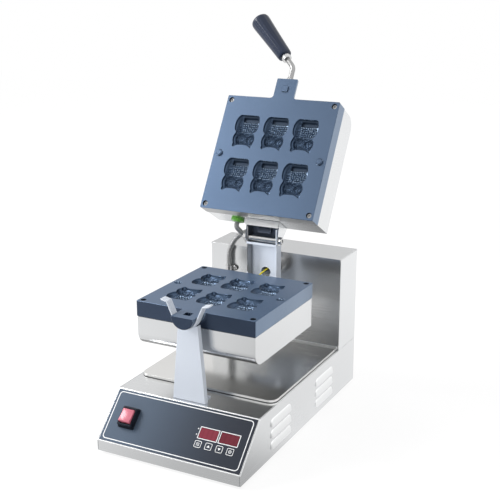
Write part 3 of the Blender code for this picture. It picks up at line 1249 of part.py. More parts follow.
def conduits(machine, turning, materials):
    """The ribbed conduit: up the tower and round a loop behind the column, then on to the upper mould."""
    lean = OPEN_ANGLE - math.pi / 2
    up = Vector((0.0, math.sin(lean), math.cos(lean)))
    behind = Vector((0.0, math.cos(lean), -math.sin(lean)))
    hinge = Vector((0.0, HINGE_Y, HINGE_Z))
    depth = mould_level(1, UPPER_GLAND_DEPTH) - HINGE_Z
    reach = HINGE_BEHIND_MOULD + HOUSING_INSET - GAP - GLAND_LENGTH - GAP
    start = hinge + Vector((UPPER_GLAND_X, 0.0, 0.0)) + behind * depth + up * reach
    straight = 2 * CONDUIT_RADIUS
    meeting = Vector(CONDUIT_MEETING)
    across = Vector((1.0, 0.0, 0.0))
    route = [start, start - up * straight, *CONDUIT_UPPER_ROUTE, meeting - across * straight, meeting]
    points = smooth_route(route, CONDUIT_PITCH / 2)
    hose = ribbed_hose(points, CONDUIT_RADIUS, CONDUIT_RIB_DEPTH, CONDUIT_BORE)
    add("conduit_upper", hose, turning, materials["conduit"])
    start = meeting + across * GAP
    end = Vector((CONDUIT_X, CONDUIT_Y, DECK_HEIGHT + GAP + DECK_GLAND_HEIGHT + GAP))
    rise = Vector((0.0, 0.0, straight))
    route = [start, start + across * straight, *CONDUIT_LOWER_ROUTE, end + rise * 2, end + rise, end]
    points = smooth_route(route, CONDUIT_PITCH / 2)
    hose = ribbed_hose(points, CONDUIT_RADIUS, CONDUIT_RIB_DEPTH, CONDUIT_BORE)
    add("conduit_lower", hose, machine, materials["conduit"])
    stem = DECK_GLAND_STEM_RADIUS
    radius = DECK_GLAND_RADIUS
    profile = [
        (CONDUIT_BORE, -DECK_GLAND_STEM_LENGTH), (stem, -DECK_GLAND_STEM_LENGTH), (stem, GAP), (radius, GAP),
        (radius, GAP + DECK_GLAND_HEIGHT / 2), (CONDUIT_RADIUS, GAP + DECK_GLAND_HEIGHT),
        (CONDUIT_BORE, GAP + DECK_GLAND_HEIGHT),
    ]
    gland = turned(profile, (0, 0, 1), (CONDUIT_X, CONDUIT_Y, DECK_HEIGHT), SMALL_STEPS)
    add("conduit_deck_gland", gland, machine, materials["chrome"])


def conduit_clip(machine, materials):
    """The strap that holds the conduit on the tower's front, with its screw head."""
    inner = CONDUIT_RADIUS + GAP
    wall = TOWER_FRONT - GAP
    middle = (CONDUIT_X, CONDUIT_Y)
    loop = arc(middle, inner, -CLIP_WRAP, 0.0, 14)
    tail_x = CONDUIT_X + CLIP_SCREW_OFFSET + CLIP_SCREW_RADIUS
    path = [*loop, (CONDUIT_X + inner, wall), (tail_x, wall)]
    outline = bent_sheet(path, CLIP_SHEET)
    low = CLIP_HEIGHT - CLIP_WIDTH / 2
    clip = add("conduit_clip", prism(outline, "Z", low, low + CLIP_WIDTH), machine, materials["chrome"])
    place = (CONDUIT_X + CLIP_SCREW_OFFSET, wall - CLIP_SHEET / 2, CLIP_HEIGHT)
    head = rod(CLIP_SCREW_RADIUS, 0.0, CLIP_SCREW_RADIUS, (0, -1, 0), place, 12)
    join(clip, add("clip_screw_head", head, machine))


def handle(group, materials):
    """The cranked rod in the end of the lug, its ferrule and the tapered grip."""
    depth = mould_level(1, ROD_DEPTH_IN_LUG)
    lug_end = MOULD_FRONT - LUG_LENGTH
    start = Vector((0.0, lug_end - GAP, depth))
    corner = start + Vector((0.0, -ROD_STRAIGHT, 0.0))
    aim = Vector((-math.sin(ROD_CRANK_ANGLE), -math.cos(ROD_CRANK_ANGLE), 0.0))
    grip_start = corner + aim * ROD_CRANK
    end = grip_start + aim * GRIP_SOCKET_DEPTH
    path = rounded_path([start, corner, end], ROD_BEND_RADIUS, 6)
    bm = bmesh.new()
    rings = rings_along(bm, path, [ROD_RADIUS] * len(path), 12)
    for first, second in zip(rings, rings[1:]):
        bridge(bm, first, second)
    for end_ring in (rings[0], rings[-1]):
        bm.faces.new(end_ring)
    rod_obj = add("handle_rod", bm, group, materials["chrome"])
    collar = rod(ROD_COLLAR_RADIUS, 0.0, ROD_COLLAR_LENGTH, (0, -1, 0), start)
    join(rod_obj, add("rod_collar", collar, group))
    low = -FERRULE_LENGTH - GAP
    ferrule = ring(ROD_RADIUS + GAP, FERRULE_RADIUS, low, -GAP, aim, grip_start, SMALL_STEPS)
    add("handle_ferrule", ferrule, group, materials["chrome"])
    profile = [(radius * GRIP_RADIUS, along * GRIP_LENGTH) for radius, along in GRIP_PROFILE_SHARES]
    socket = ROD_RADIUS + GAP
    profile = [(0.0, GRIP_SOCKET_DEPTH + GAP), (socket, GRIP_SOCKET_DEPTH + GAP), (socket, 0.0), *profile]
    add("handle_grip", turned(profile, aim, grip_start, 24), group, materials["grip"])


def build():
    clear_scene()
    materials = make_materials()
    machine = Group("machine", (0.0, 0.0, 0.0))
    panel = Group("panel_face", (0.0, 0.0, 0.0), machine, SLOPE_ANGLE)
    panel.empty.location.z = LIP_HEIGHT
    turning = Group("mould_turn_axis", (0.0, HINGE_Y, PARTING_HEIGHT), machine)
    opening = Group("mould_open_axis", (0.0, HINGE_Y, HINGE_Z), turning, -OPEN_ANGLE)
    base_body(machine, panel, materials)
    tower_body(machine, materials)
    deck_plate(machine, materials)
    control_panel(panel, materials)
    electrics(machine, materials)
    front_arm(machine, materials)
    bearings(machine, materials)
    conduit_clip(machine, materials)
    conduits(machine, turning, materials)
    owl = owl_tool(machine)
    lower = mould_plate("lower_plate", -1, turning, materials, owl)
    lower_details(lower, turning)
    plate_screws("lower", -1, turning, materials)
    mould_housing("lower_housing", -1, turning, materials)
    heater("lower_heater", -1, turning, materials)
    hinge_column(turning, materials)
    hinge_pin(turning, materials)
    rotary_shaft(turning, materials)
    wire("earth_wire", smooth_route(EARTH_ROUTE, EARTH_STEP), EARTH_RADIUS, turning, materials["earth"], 1)
    upper = mould_plate("upper_plate", 1, opening, materials, owl)
    upper_details(upper, opening)
    plate_screws("upper", 1, opening, materials)
    housing = mould_housing("upper_housing", 1, opening, materials)
    heater("upper_heater", 1, opening, materials)
    hinge_bracket(opening, materials)
    upper_gland(opening, materials, housing)
    handle(opening, materials)
    owl.free()
    stand_on_origin(machine)


def stand_on_origin(machine):
    """Puts the origin under the middle of the whole object, at the level of its feet."""
    bpy.context.view_layer.update()
    graph = bpy.context.evaluated_depsgraph_get()
    low, high = math.inf, -math.inf
    for obj in bpy.data.objects:
        if obj.type == "EMPTY" or obj.hide_render:
            continue
        evaluated = obj.evaluated_get(graph)
        mesh = evaluated.to_mesh()
        places = [(evaluated.matrix_world @ vert.co).y for vert in mesh.vertices]
        low, high = min(low, *places), max(high, *places)
        evaluated.to_mesh_clear()
    machine.empty.location = (0.0, -(low + high) / 2, FOOT_HEIGHT)
    print(f"depth {high - low:.5f} m, machine empty at y {-(low + high) / 2:.6f} m")


if __name__ == "__main__":
    build()
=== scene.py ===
"""Finishes, fine pieces and stage of the owl waffle maker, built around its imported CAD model.

The script is laid out as an add-on: one operator makes each group of like pieces. Lengths are in
metres. Machine coordinates run across (X), from the front edge to the back (Y) and up from the
bottom edge of the sheet steel (Z); the owl's relief alone is drawn in millimetres.
"""

import json
import math

import bmesh
import bpy
from bpy.props import FloatProperty, FloatVectorProperty, IntProperty, PointerProperty
from mathutils import Matrix, Vector


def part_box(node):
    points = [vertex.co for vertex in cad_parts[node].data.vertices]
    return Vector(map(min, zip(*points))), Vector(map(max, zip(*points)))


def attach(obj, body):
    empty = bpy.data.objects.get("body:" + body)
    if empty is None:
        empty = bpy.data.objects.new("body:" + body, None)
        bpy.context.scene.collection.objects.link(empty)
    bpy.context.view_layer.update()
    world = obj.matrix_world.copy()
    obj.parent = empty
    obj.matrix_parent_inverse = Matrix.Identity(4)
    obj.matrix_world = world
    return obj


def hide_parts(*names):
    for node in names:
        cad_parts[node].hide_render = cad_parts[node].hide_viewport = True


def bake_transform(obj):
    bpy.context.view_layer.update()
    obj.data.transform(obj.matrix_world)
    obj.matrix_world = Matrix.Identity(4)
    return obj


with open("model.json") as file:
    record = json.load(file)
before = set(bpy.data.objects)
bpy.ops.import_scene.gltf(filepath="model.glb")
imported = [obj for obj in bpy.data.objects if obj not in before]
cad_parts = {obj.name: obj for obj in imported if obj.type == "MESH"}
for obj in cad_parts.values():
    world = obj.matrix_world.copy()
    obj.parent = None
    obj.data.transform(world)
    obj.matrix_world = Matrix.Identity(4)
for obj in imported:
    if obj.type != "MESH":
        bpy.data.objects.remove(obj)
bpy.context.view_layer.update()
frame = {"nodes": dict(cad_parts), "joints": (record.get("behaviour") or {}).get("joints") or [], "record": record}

bl_info = {
    "name": "Owl Waffle Maker",
    "version": (1, 0, 0),
    "blender": (4, 5, 0),
    "location": "View3D > Sidebar > Waffle Maker",
    "description": "Builds the finishes and fine pieces of a countertop waffle maker with owl moulds",
    "category": "Add Mesh",
}

MM = 0.001
TINY = 0.00001
ABOVE = 0.001
CLEARANCE = 0.0003
FINE_EDGE = 0.0003
THIN_EDGE = 0.0002

# Sheet-steel body, as in the CAD model
LIP_HEIGHT = 0.017
SLOPE_RUN = 0.064
DECK_HEIGHT = 0.080
TOWER_FRONT = 0.364
BASE_DEPTH = 0.438
BASE_WIDTH = 0.250
DECK_PLATE_WIDTH = 0.242
DECK_PLATE_RISE = 0.0042
DECK_PLATE_FRONT = 0.118
DECK_PLATE_CORNER = 0.014
SHEET = 0.0012
LOUVRE_LENGTH = 0.071
LOUVRE_HEIGHT = 0.012
LOUVRE_PROUD = 0.003
LOUVRE_PITCH = 0.0185
LOUVRE_FIRST_HEIGHT = 0.0145
LOUVRES_FRONT = 0.0985
LOUVRES_REAR = 0.266
HOOD_SHEET = 0.0006
# The line of painted shade round the deck plate: how far it stands out and how high
PAINTED_SHADE_LINE_PROUD = 0.0004
PAINTED_SHADE_LINE_HEIGHT = 0.0009
HOOD_END = 0.0075
SLOT_INSET = 0.0030
SLOT_HEIGHT = 0.0060
HEM_HEIGHT = 0.0026
HEM_PROUD = 0.0016
REAR_SCREW_RADIUS = 0.0034
REAR_SCREW_X = 0.112
REAR_SCREW_HEIGHTS = (0.012, 0.072, 0.150, 0.232)

# Mould pair
MOULD_WIDTH = 0.2088
MOULD_FRONT = 0.0881
MOULD_REAR = 0.2948
PARTING_HEIGHT = 0.2206
PLATE_THICKNESS = 0.0261
PLATE_GAP = 0.0005
LUG_RADIUS = 0.019
LUG_LENGTH = 0.036
LUG_FILLET = 0.005
LUG_ROOT = 0.004
KEY_BLOCK_SIDE = 0.0100
KEY_BLOCK_HEIGHT = 0.004
KEY_BLOCK_SHOWN = 0.0018
KEY_BLOCK_Y = MOULD_FRONT - 0.017
DOWEL_PROFILE = ((0.0, -0.002), (0.005, -0.002), (0.005, 0.0022), (0.0034, 0.0035), (0.0, 0.0035))
DOWEL_SOCKET = ((0.0, 0.001), (0.0074, 0.001), (0.0066, -0.0002), (0.0052, -0.0043), (0.0, -0.0043))
DOWEL_GROOVE = (0.0054, 0.0064)
GROOVE_DEPTH = 0.0006
DOWEL_X = 0.0930
DOWEL_FROM_REAR = 0.1000
SCREW_X = 0.0960
SCREW_FROM_EDGE = 0.0084
SCREW_HEAD_RADIUS = 0.0041
SCREW_HEAD_HEIGHT = 0.0042
SCREW_SUNK = 0.0026
SCREW_CLEARANCE = 0.0004
SCREW_LENGTH = 0.016
SCREW_SHANK_RADIUS = 0.0020
SCREW_HOLE_RADIUS = 0.0024
OWL_PITCH_X = 0.0545
OWL_PITCH_Y = 0.0785

# Hinge, handle and conduit
HINGE_Y = 0.3215
HINGE_Z = 0.2759
COLUMN_HALF_WIDTH = 0.028
COLUMN_WEB_TO_PIN = 0.0095
COLUMN_SHEET = 0.0020
COLUMN_FLANGE_DEPTH = 0.0025
# The dark sheet of painted shade behind the pin: its thickness and its reach below and above the pin
PAINTED_SHADE_SHEET = 0.0005
PAINTED_SHADE_BELOW_PIN = 0.0125
PAINTED_SHADE_ABOVE_PIN = 0.0195
EAR_GAP = 0.0004
EAR_SHEET = 0.0020
BRACKET_HALF_HEIGHT = 0.018
BRACKET_STRIP_DEPTH = 0.0120
BRACKET_STRIP_SHEET = 0.0016
ROD_RADIUS = 0.0044
ROD_DEPTH = 0.0100
ROD_STRAIGHT = 0.0257
ROD_CRANK = 0.0283
ROD_CRANK_ANGLE = math.radians(45.0)
ROD_BEND_RADIUS = 0.014
ROD_COLLAR = ((0.0, 0.0), (0.0070, 0.0), (0.0070, 0.0036), (0.0062, 0.0045), (0.0, 0.0045))
GRIP_LENGTH = 0.095
GRIP_RADIUS = 0.0168
GRIP_FLUTES = 14
GRIP_FLUTE_DEPTH = 0.00022
GRIP_SOCKET_DEPTH = 0.030
CONDUIT_RADIUS = 0.0044
CONDUIT_X = -0.086
CONDUIT_Y = 0.357
UPPER_GLAND_X = -0.055
UPPER_GLAND_DEPTH = 0.052
GLAND_RADIUS = 0.0115
GLAND_LENGTH = 0.0050
GLAND_BORE = 0.0031
GLAND_STEM = 0.0060
DECK_GLAND_HEIGHT = 0.008
CLIP_SHEET = 0.0016
CLIP_SCREW_ACROSS = 0.0095
CLIP_SCREW_HEIGHT = 0.2028
CLIP_SCREW_RADIUS = 0.0041
WASHER_RADIUS = 0.0050
WASHER_THICKNESS = 0.0008
WIRE_RADIUS = 0.0014

# Panel, measured across, up the slope and out of it
FILM_TOP = 0.0009
FILM_EDGE = 0.0001
BORDER_SIZE = (0.2370, 0.0790)
DISPLAY_XS = (0.054, 0.089)
DISPLAY_UP = 0.049
DISPLAY_SIZE = (0.030, 0.016)
DISPLAY_FRAME_REACH = 0.0016
DISPLAY_FRAME_LINE = 0.00115
LAMP_TO_DISPLAY = 0.0192
LAMP_UPS = (0.0052, -0.0038)
LAMP_PROFILE = ((0.0, -0.0002), (0.0011, -0.0002), (0.0011, 0.0002), (0.0006, 0.0006), (0.0, 0.0007))
KEY_NAMES = ("key_mode", "key_up", "key_down", "key_set")
KEY_FIRST_X = 0.0425
KEY_PITCH = 0.0181
KEY_UP = 0.0309
KEY_SIZE = (0.0118, 0.0112)
KEY_TOP = 0.0013
KEY_LINE = 0.0008
SWITCH_PLACE = (-0.085, 0.0445)
ROCKER_SIZE = (0.0200, 0.0214)
ROCKER_HOLE = (0.0214, 0.0249)
ROCKER_TILT = math.radians(6.0)
ROCKER_LIFT = 0.0082
SWITCH_SEAT = 0.0012
SWITCH_BOTTOM = -0.0195
SWITCH_RIBS = 4
SWITCH_RIB_PITCH = 0.0018
SWITCH_RIB = (
    (0.0252, 0.0310, 0.0), (0.0252, 0.0310, 0.0005), (0.0268, 0.0326, 0.0008), (0.0268, 0.0326, 0.0015),
)
PRINT_THICKNESS = 0.00006


def joint(name):
    return next(j for j in frame["joints"] if j["name"] == name)


side_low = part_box("base_side_left")[0]
MACHINE = Matrix.Translation((0.0, side_low.y, side_low.z))
SLOPE_ANGLE = math.atan2(DECK_HEIGHT - LIP_HEIGHT, SLOPE_RUN)
SLOPE_LENGTH = math.hypot(SLOPE_RUN, DECK_HEIGHT - LIP_HEIGHT)
PANEL = MACHINE @ Matrix.Translation((0.0, 0.0, LIP_HEIGHT)) @ Matrix.Rotation(SLOPE_ANGLE, 4, "X")
PIN = Vector(joint("mould_open")["pos_m"])
OPEN_ANGLE = math.radians(joint("mould_open")["range_deg"][1])
OPENED = Matrix.Translation(PIN) @ Matrix.Rotation(-OPEN_ANGLE, 4, "X") @ Matrix.Translation(-PIN)
LOWER_FACE = MACHINE @ Matrix.Translation((0.0, 0.0, PARTING_HEIGHT))
UPPER_FACE = (
    OPENED @ MACHINE @ Matrix.Translation((0.0, 0.0, PARTING_HEIGHT + PLATE_GAP))
    @ Matrix.Diagonal((1.0, 1.0, -1.0, 1.0))
)
BODY_OF = {
    node: body for body, nodes in frame["record"]["behaviour"]["bodies"].items() for node in nodes
}


def maths(operation, swapped=False):
    """An operator that puts its values through one Math node."""
    def operate(first, *others):
        values = (first, *others)[::-1] if swapped else (first, *others)
        return first.graph.node("ShaderNodeMath", {"operation": operation}, dict(enumerate(values)))
    return operate


class Socket:
    """A shader value that takes part in Python arithmetic."""

    def __init__(self, graph, socket):
        self.graph = graph
        self.socket = socket

    __add__ = __radd__ = maths("ADD")
    __mul__ = __rmul__ = maths("MULTIPLY")
    __sub__ = maths("SUBTRACT")
    __rsub__ = maths("SUBTRACT", swapped=True)
    __truediv__ = maths("DIVIDE")
    __gt__ = maths("GREATER_THAN")
    __abs__ = maths("ABSOLUTE")

    def ease(self, low, high):
        """0 below low and 1 above high, with a smooth step between."""
        return self.graph.node(
            "ShaderNodeMapRange", {"interpolation_type": "SMOOTHSTEP"},
            {"Value": self, "From Min": low, "From Max": high},
        )


class Graph:
    """A node tree that is filled through one method."""

    def __init__(self, tree):
        self.tree = tree

    def node(self, kind, settings=None, inputs=None, output=0):
        node = self.tree.nodes.new(kind)
        for name, value in (settings or {}).items():
            setattr(node, name, value)
        for name, value in (inputs or {}).items():
            self.feed(node.inputs[name], value)
        return Socket(self, node.outputs[output])

    def feed(self, target, value):
        if isinstance(value, Socket):
            self.tree.links.new(value.socket, target)
        elif hasattr(value, "__len__") and len(value) == 3 and target.type == "RGBA":
            target.default_value = (*value, 1.0)
        else:
            target.default_value = value

    def place(self, output="Object"):
        return self.node("ShaderNodeTexCoord", output=output)

    def part_of(self, vector, axis):
        return self.node("ShaderNodeSeparateXYZ", inputs={"Vector": vector}, output=axis)

    def scaled(self, vector, factors):
        return self.node(
            "ShaderNodeVectorMath", {"operation": "MULTIPLY"}, {0: vector, 1: factors}
        )

    def length_of(self, vector):
        return self.node("ShaderNodeVectorMath", {"operation": "LENGTH"}, {0: vector}, output="Value")

    def noise(self, vector, scale, detail=2.0, roughness=0.5):
        return self.node(
            "ShaderNodeTexNoise",
            inputs={"Vector": vector, "Scale": scale, "Detail": detail, "Roughness": roughness},
        )

    def colour_mix(self, first, second, factor):
        return self.node(
            "ShaderNodeMix", {"data_type": "RGBA"}, {"Factor": factor, 6: first, 7: second}, output=2
        )

    def vector_mix(self, first, second, factor):
        return self.node(
            "ShaderNodeMix", {"data_type": "VECTOR"}, {"Factor": factor, 4: first, 5: second}, output=1
        )

    def bump(self, height, strength, distance):
        return self.node(
            "ShaderNodeBump", inputs={"Height": height, "Strength": strength, "Distance": distance}
        )


class Finish(Graph):
    """A material whose Principled shader is set by input names."""

    def __init__(self, name, **inputs):
        material = bpy.data.materials.new(name)
        material.use_nodes = True
        super().__init__(material.node_tree)
        self.shader = self.tree.nodes["Principled BSDF"]
        self.set(**inputs)

    def set(self, **inputs):
        for name, value in inputs.items():
            self.feed(self.shader.inputs[name.replace("_", " ").title().replace("Ior", "IOR")], value)


def shade(colour, factor):
    return tuple(min(1.0, channel * factor) for channel in colour)


def brushed_steel(name, colour, roughness, painted_shade_colour=None):
    """Sheet steel brushed along X, or along Y where it faces sideways; its right end may take painted shade, a
    darker colour standing in for a dark reflection.
    """
    finish = Finish(name, metallic=1.0)
    place = finish.place()
    sideways = abs(finish.part_of(finish.place("Normal"), "X")) > 0.7
    along_x = finish.scaled(place, (12.0, 1400.0, 1400.0))
    along_y = finish.scaled(place, (1400.0, 12.0, 1400.0))
    grain = finish.noise(finish.vector_mix(along_x, along_y, sideways), 1.0, 3.0, 0.6)
    cloud = finish.noise(place, 11.0, 3.0)
    tint = finish.colour_mix(shade(colour, 0.90), shade(colour, 1.06), grain * 0.7 + cloud * 0.3)
    # Painted shade: the colour darkens towards +X, standing in for the dark reflection there.
    if painted_shade_colour:
        tint = finish.colour_mix(tint, painted_shade_colour, finish.part_of(place, "X").ease(-0.03, 0.11))
    finish.set(
        base_color=tint,
        roughness=grain * 0.16 + cloud * 0.10 + (roughness - 0.13),
        normal=finish.bump(grain, 0.25, 0.00006),
    )


def satin_steel(name, colour, roughness):
    """Bead-blasted steel: pale and even, with a little of its own body under the sheen."""
    finish = Finish(name, metallic=0.12, specular_ior_level=0.35)
    place = finish.place()
    grit = finish.noise(place, 1700.0, 2.0)
    cloud = finish.noise(place, 24.0, 2.0)
    finish.set(
        base_color=finish.colour_mix(shade(colour, 0.92), shade(colour, 1.05), grit * 0.5 + cloud * 0.5),
        roughness=grit * 0.10 + cloud * 0.06 + (roughness - 0.08),
        normal=finish.bump(grit, 0.12, 0.00004),
    )


def polished_steel(name, colour, roughness):
    """Turned or plated steel with faint scratches."""
    finish = Finish(name, metallic=1.0)
    place = finish.place()
    scratches = finish.noise(finish.scaled(place, (900.0, 900.0, 120.0)), 1.0, 3.0)
    cloud = finish.noise(place, 60.0)
    finish.set(
        base_color=finish.colour_mix(shade(colour, 0.92), shade(colour, 1.04), cloud),
        roughness=scratches * 0.10 + cloud * 0.05 + (roughness - 0.07),
        normal=finish.bump(scratches, 0.08, 0.00004),
    )


# Painted glints in the cavities, bright points that stand in for highlights on the relief: how many to a metre,
# their colour, and the open plate's length as Y and Z
PAINTED_GLINT_POINTS = 270.0
PAINTED_GLINT_COLOUR = (0.42, 0.55, 0.72)
OPEN_LENGTH = (0.51, 0.86)


def coated_casting(name, colour, roughness, metallic, painted_glints=0.0, painted_light_gradient=None):
    """Non-stick coating over cast aluminium: a fine grain and patches dulled by heat, with painted glints as
    bright points and a painted light gradient where asked.
    """
    finish = Finish(name, metallic=metallic, coat_roughness=0.25)
    place = finish.place()
    grain = finish.noise(place, 1500.0, 2.0, 0.6)
    mottle = finish.noise(place, 260.0, 3.0)
    cloud = finish.noise(place, 14.0, 2.0)
    patches = grain * 0.45 + mottle * 0.25 + cloud * 0.30
    tint = finish.colour_mix(shade(colour, 0.78), shade(colour, 1.22), patches)
    # Painted light and shade: the coating lightens towards one corner and darkens towards the other, along a slant
    # across the plate.
    if painted_light_gradient:
        pale, deep = painted_light_gradient
        slant = finish.part_of(place, "X") * 0.8 + finish.part_of(place, "Z") * 0.45
        tint = finish.colour_mix(tint, deep, slant.ease(0.17, 0.31))
        tint = finish.colour_mix(pale, tint, slant.ease(0.03, 0.19))
    # Painted highlight: bright points on a grid across the opened plate stand in for glints on the relief.
    if painted_glints:
        along = finish.part_of(place, "Y") * OPEN_LENGTH[0] + finish.part_of(place, "Z") * OPEN_LENGTH[1]
        face = finish.node("ShaderNodeCombineXYZ", inputs={"X": finish.part_of(place, "X"), "Y": along})
        points = finish.node(
            "ShaderNodeTexVoronoi", {"feature": "F1", "voronoi_dimensions": "2D"},
            {"Vector": face, "Scale": PAINTED_GLINT_POINTS, "Randomness": 0.3},
        )
        tint = finish.colour_mix(tint, PAINTED_GLINT_COLOUR, (1.0 - points.ease(0.16, 0.42)) * painted_glints)
    finish.set(
        base_color=tint,
        roughness=grain * 0.14 + cloud * 0.12 + (roughness - 0.13),
        coat_weight=cloud * 0.16,
        normal=finish.bump(grain, 0.35, 0.00008),
    )


def moulded_plastic(name, colour, roughness, coat=0.0, texture=1100.0, specular=0.5):
    """Injection-moulded plastic or rubber with a spark-eroded surface."""
    finish = Finish(name, coat_roughness=0.12, specular_ior_level=specular)
    place = finish.place()
    pebble = finish.noise(place, texture, 2.0)
    cloud = finish.noise(place, 45.0, 2.0)
    finish.set(
        base_color=finish.colour_mix(shade(colour, 0.86), shade(colour, 1.12), cloud),
        roughness=pebble * 0.08 + cloud * 0.08 + (roughness - 0.08),
        coat_weight=coat * (1.0 - cloud * 0.3) if coat else 0.0,
        normal=finish.bump(pebble, 0.18, 0.00005),
    )


def streaked_resin(name, colour, roughness):
    """Turned resin with faint streaks along its length, which is its own Z."""
    finish = Finish(name, specular_ior_level=0.32, coat_weight=0.10, coat_roughness=0.18)
    place = finish.place()
    streaks = finish.noise(finish.scaled(place, (420.0, 420.0, 9.0)), 1.0, 3.0, 0.6)
    cloud = finish.noise(place, 60.0, 2.0)
    finish.set(
        base_color=finish.colour_mix(shade(colour, 0.6), shade(colour, 1.6), streaks * 0.7 + cloud * 0.3),
        roughness=streaks * 0.18 + (roughness - 0.09),
        normal=finish.bump(streaks, 0.10, 0.00005),
    )


def panel_film(name, colour, painted_sheen_colour):
    """Reverse-printed film: slate, with a painted sheen that lightens it towards the switch, under a fine matte
    texture.
    """
    finish = Finish(name, specular_ior_level=0.22)
    place = finish.place()
    texture = finish.noise(place, 2200.0, 2.0)
    cloud = finish.noise(place, 9.0, 2.0)
    # Painted sheen: the film lightens towards the switch at -X, standing in for the reflection of a soft lamp.
    across = finish.part_of(place, "X").ease(-0.13, 0.11)
    tint = finish.colour_mix(painted_sheen_colour, colour, across)
    finish.set(
        base_color=finish.colour_mix(tint, shade(colour, 0.8), cloud * 0.25),
        roughness=texture * 0.08 + cloud * 0.06 + 0.30,
        normal=finish.bump(texture, 0.12, 0.00003),
    )


def display_glass(name, colour):
    """Tinted window over an unlit display: faint rows of the blocks behind it."""
    finish = Finish(name, coat_weight=0.06, coat_roughness=0.05, specular_ior_level=0.15)
    place = finish.place()
    rows = finish.node(
        "ShaderNodeTexWave", {"wave_type": "BANDS", "bands_direction": "X"},
        {"Vector": place, "Scale": 42.0, "Distortion": 0.0},
    )
    cloud = finish.noise(place, 70.0, 2.0)
    depth = rows.ease(0.1, 0.5) * 0.3 + cloud * 0.7
    finish.set(
        base_color=finish.colour_mix(shade(colour, 0.78), shade(colour, 1.08), depth),
        roughness=cloud * 0.08 + 0.14,
    )


def circuit_board(name, colour):
    """Solder mask with darker bands of tracks."""
    finish = Finish(name)
    place = finish.place()
    cells = finish.node(
        "ShaderNodeTexVoronoi", {"feature": "DISTANCE_TO_EDGE"}, {"Vector": place, "Scale": 420.0}
    )
    tracks = cells.ease(0.03, 0.08)
    finish.set(
        base_color=finish.colour_mix(shade(colour, 1.6), colour, tracks),
        roughness=tracks * 0.15 + 0.35,
        normal=finish.bump(tracks, 0.2, 0.00005),
    )


def finish_of(name):
    return bpy.data.materials[name]


def piece(name, bm, body, finishes, matrix=None, replaces=(), angle=32.0):
    """Makes an object of a mesh and rides it on a body; a piece that bends between bodies is given none."""
    if matrix is not None:
        bm.transform(matrix)
    bmesh.ops.recalc_face_normals(bm, faces=bm.faces)
    mesh = bpy.data.meshes.new(name)
    bm.to_mesh(mesh)
    bm.free()
    mesh.shade_smooth()
    mesh.set_sharp_from_angle(angle=math.radians(angle))
    for finish in finishes:
        mesh.materials.append(finish_of(finish))
    obj = bpy.data.objects.new(name, mesh)
    bpy.context.collection.objects.link(obj)
    if body is not None:
        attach(obj, body)
    if replaces:
        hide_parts(*replaces)
    return obj


def round_edges(obj, width):
    """Rounds the sharp edges of an object and keeps its flats flat."""
    bevel = obj.modifiers.new("rounded edges", "BEVEL")
    bevel.width = width
    bevel.segments = 2
    bevel.limit_method = "ANGLE"
    bevel.angle_limit = math.radians(40.0)
    bevel.miter_outer = "MITER_ARC"
    normals = obj.modifiers.new("flat faces", "WEIGHTED_NORMAL")
    normals.keep_sharp = True
    return obj


def dressed(node, finish, width, second=None, chosen=None):
    """A copy of a CAD node with its edges rounded; the chosen faces have the second finish."""
    bm = bmesh.new()
    bm.from_mesh(frame["nodes"][node].data)
    for face in bm.faces:
        face.material_index = 0
    bmesh.ops.remove_doubles(bm, verts=bm.verts, dist=TINY)
    bmesh.ops.dissolve_limit(bm, angle_limit=math.radians(0.4), verts=bm.verts, edges=bm.edges)
    finishes = [finish, second] if second else [finish]
    obj = piece(f"{node}_finished", bm, BODY_OF[node], finishes, replaces=(node,), angle=30.0)
    if second:
        for polygon in obj.data.polygons:
            polygon.material_index = 1 if chosen(polygon) else 0
    if width:
        round_edges(obj, width)
    return obj


def block(low, high):
    bm = bmesh.new()
    size = Vector(high) - Vector(low)
    middle = (Vector(high) + Vector(low)) / 2
    bmesh.ops.create_cube(bm, size=1.0, matrix=Matrix.Translation(middle) @ Matrix.Diagonal((*size, 1.0)))
    return bm


def bridge(bm, first, second):
    """Faces between two rings of points, either of which may be a single point."""
    count = max(len(first), len(second))
    for i in range(count):
        j = (i + 1) % count
        start = (first[i % len(first)], first[j % len(first)])
        end = (second[j % len(second)], second[i % len(second)])
        bm.faces.new(list(dict.fromkeys((*start, *end))))


def loft(rings, closed=False):
    """A solid through rings of points; its ends are single points or get a face."""
    bm = bmesh.new()
    lines = [[bm.verts.new(point) for point in ring] for ring in rings]
    for first, second in zip(lines, lines[1:]):
        bridge(bm, first, second)
    if closed:
        bridge(bm, lines[-1], lines[0])
        return bm
    for end in (lines[0], lines[-1]):
        if len(end) > 2:
            bm.faces.new(end)
    return bm


def circle(radius, height, steps):
    if radius == 0.0:
        return [Vector((0.0, 0.0, height))]
    angles = [2 * math.pi * i / steps for i in range(steps)]
    return [Vector((radius * math.cos(a), radius * math.sin(a), height)) for a in angles]


def turned(profile, steps=48, closed=False):
    """A turned piece round Z from (radius, height) points; closed makes a loop round a bore."""
    return loft([circle(radius, height, steps) for radius, height in profile], closed)


def at(x, y, z=0.0):
    return Matrix.Translation((x, y, z))


def level(outline, z):
    """An outline's points at one height."""
    return [Vector((x, y, z)) for x, y in outline]


def facing(direction, centre):
    """A matrix that turns Z into a direction at a centre."""
    return at(*centre) @ Vector(direction).to_track_quat("Z", "Y").to_matrix().to_4x4()


def arc(centre, radius, start, end, steps):
    angles = [start + (end - start) * i / steps for i in range(steps + 1)]
    return [(centre[0] + radius * math.cos(a), centre[1] + radius * math.sin(a)) for a in angles]


def rounded_rectangle(width, height, radius, centre=(0.0, 0.0), steps=6):
    x, y = width / 2 - radius, height / 2 - radius
    outline = []
    for cx, cy, turn in ((x, -y, -0.5), (x, y, 0.0), (-x, y, 0.5), (-x, -y, 1.0)):
        corner = (centre[0] + cx, centre[1] + cy)
        outline += arc(corner, radius, turn * math.pi, (turn + 0.5) * math.pi, steps)
    return outline


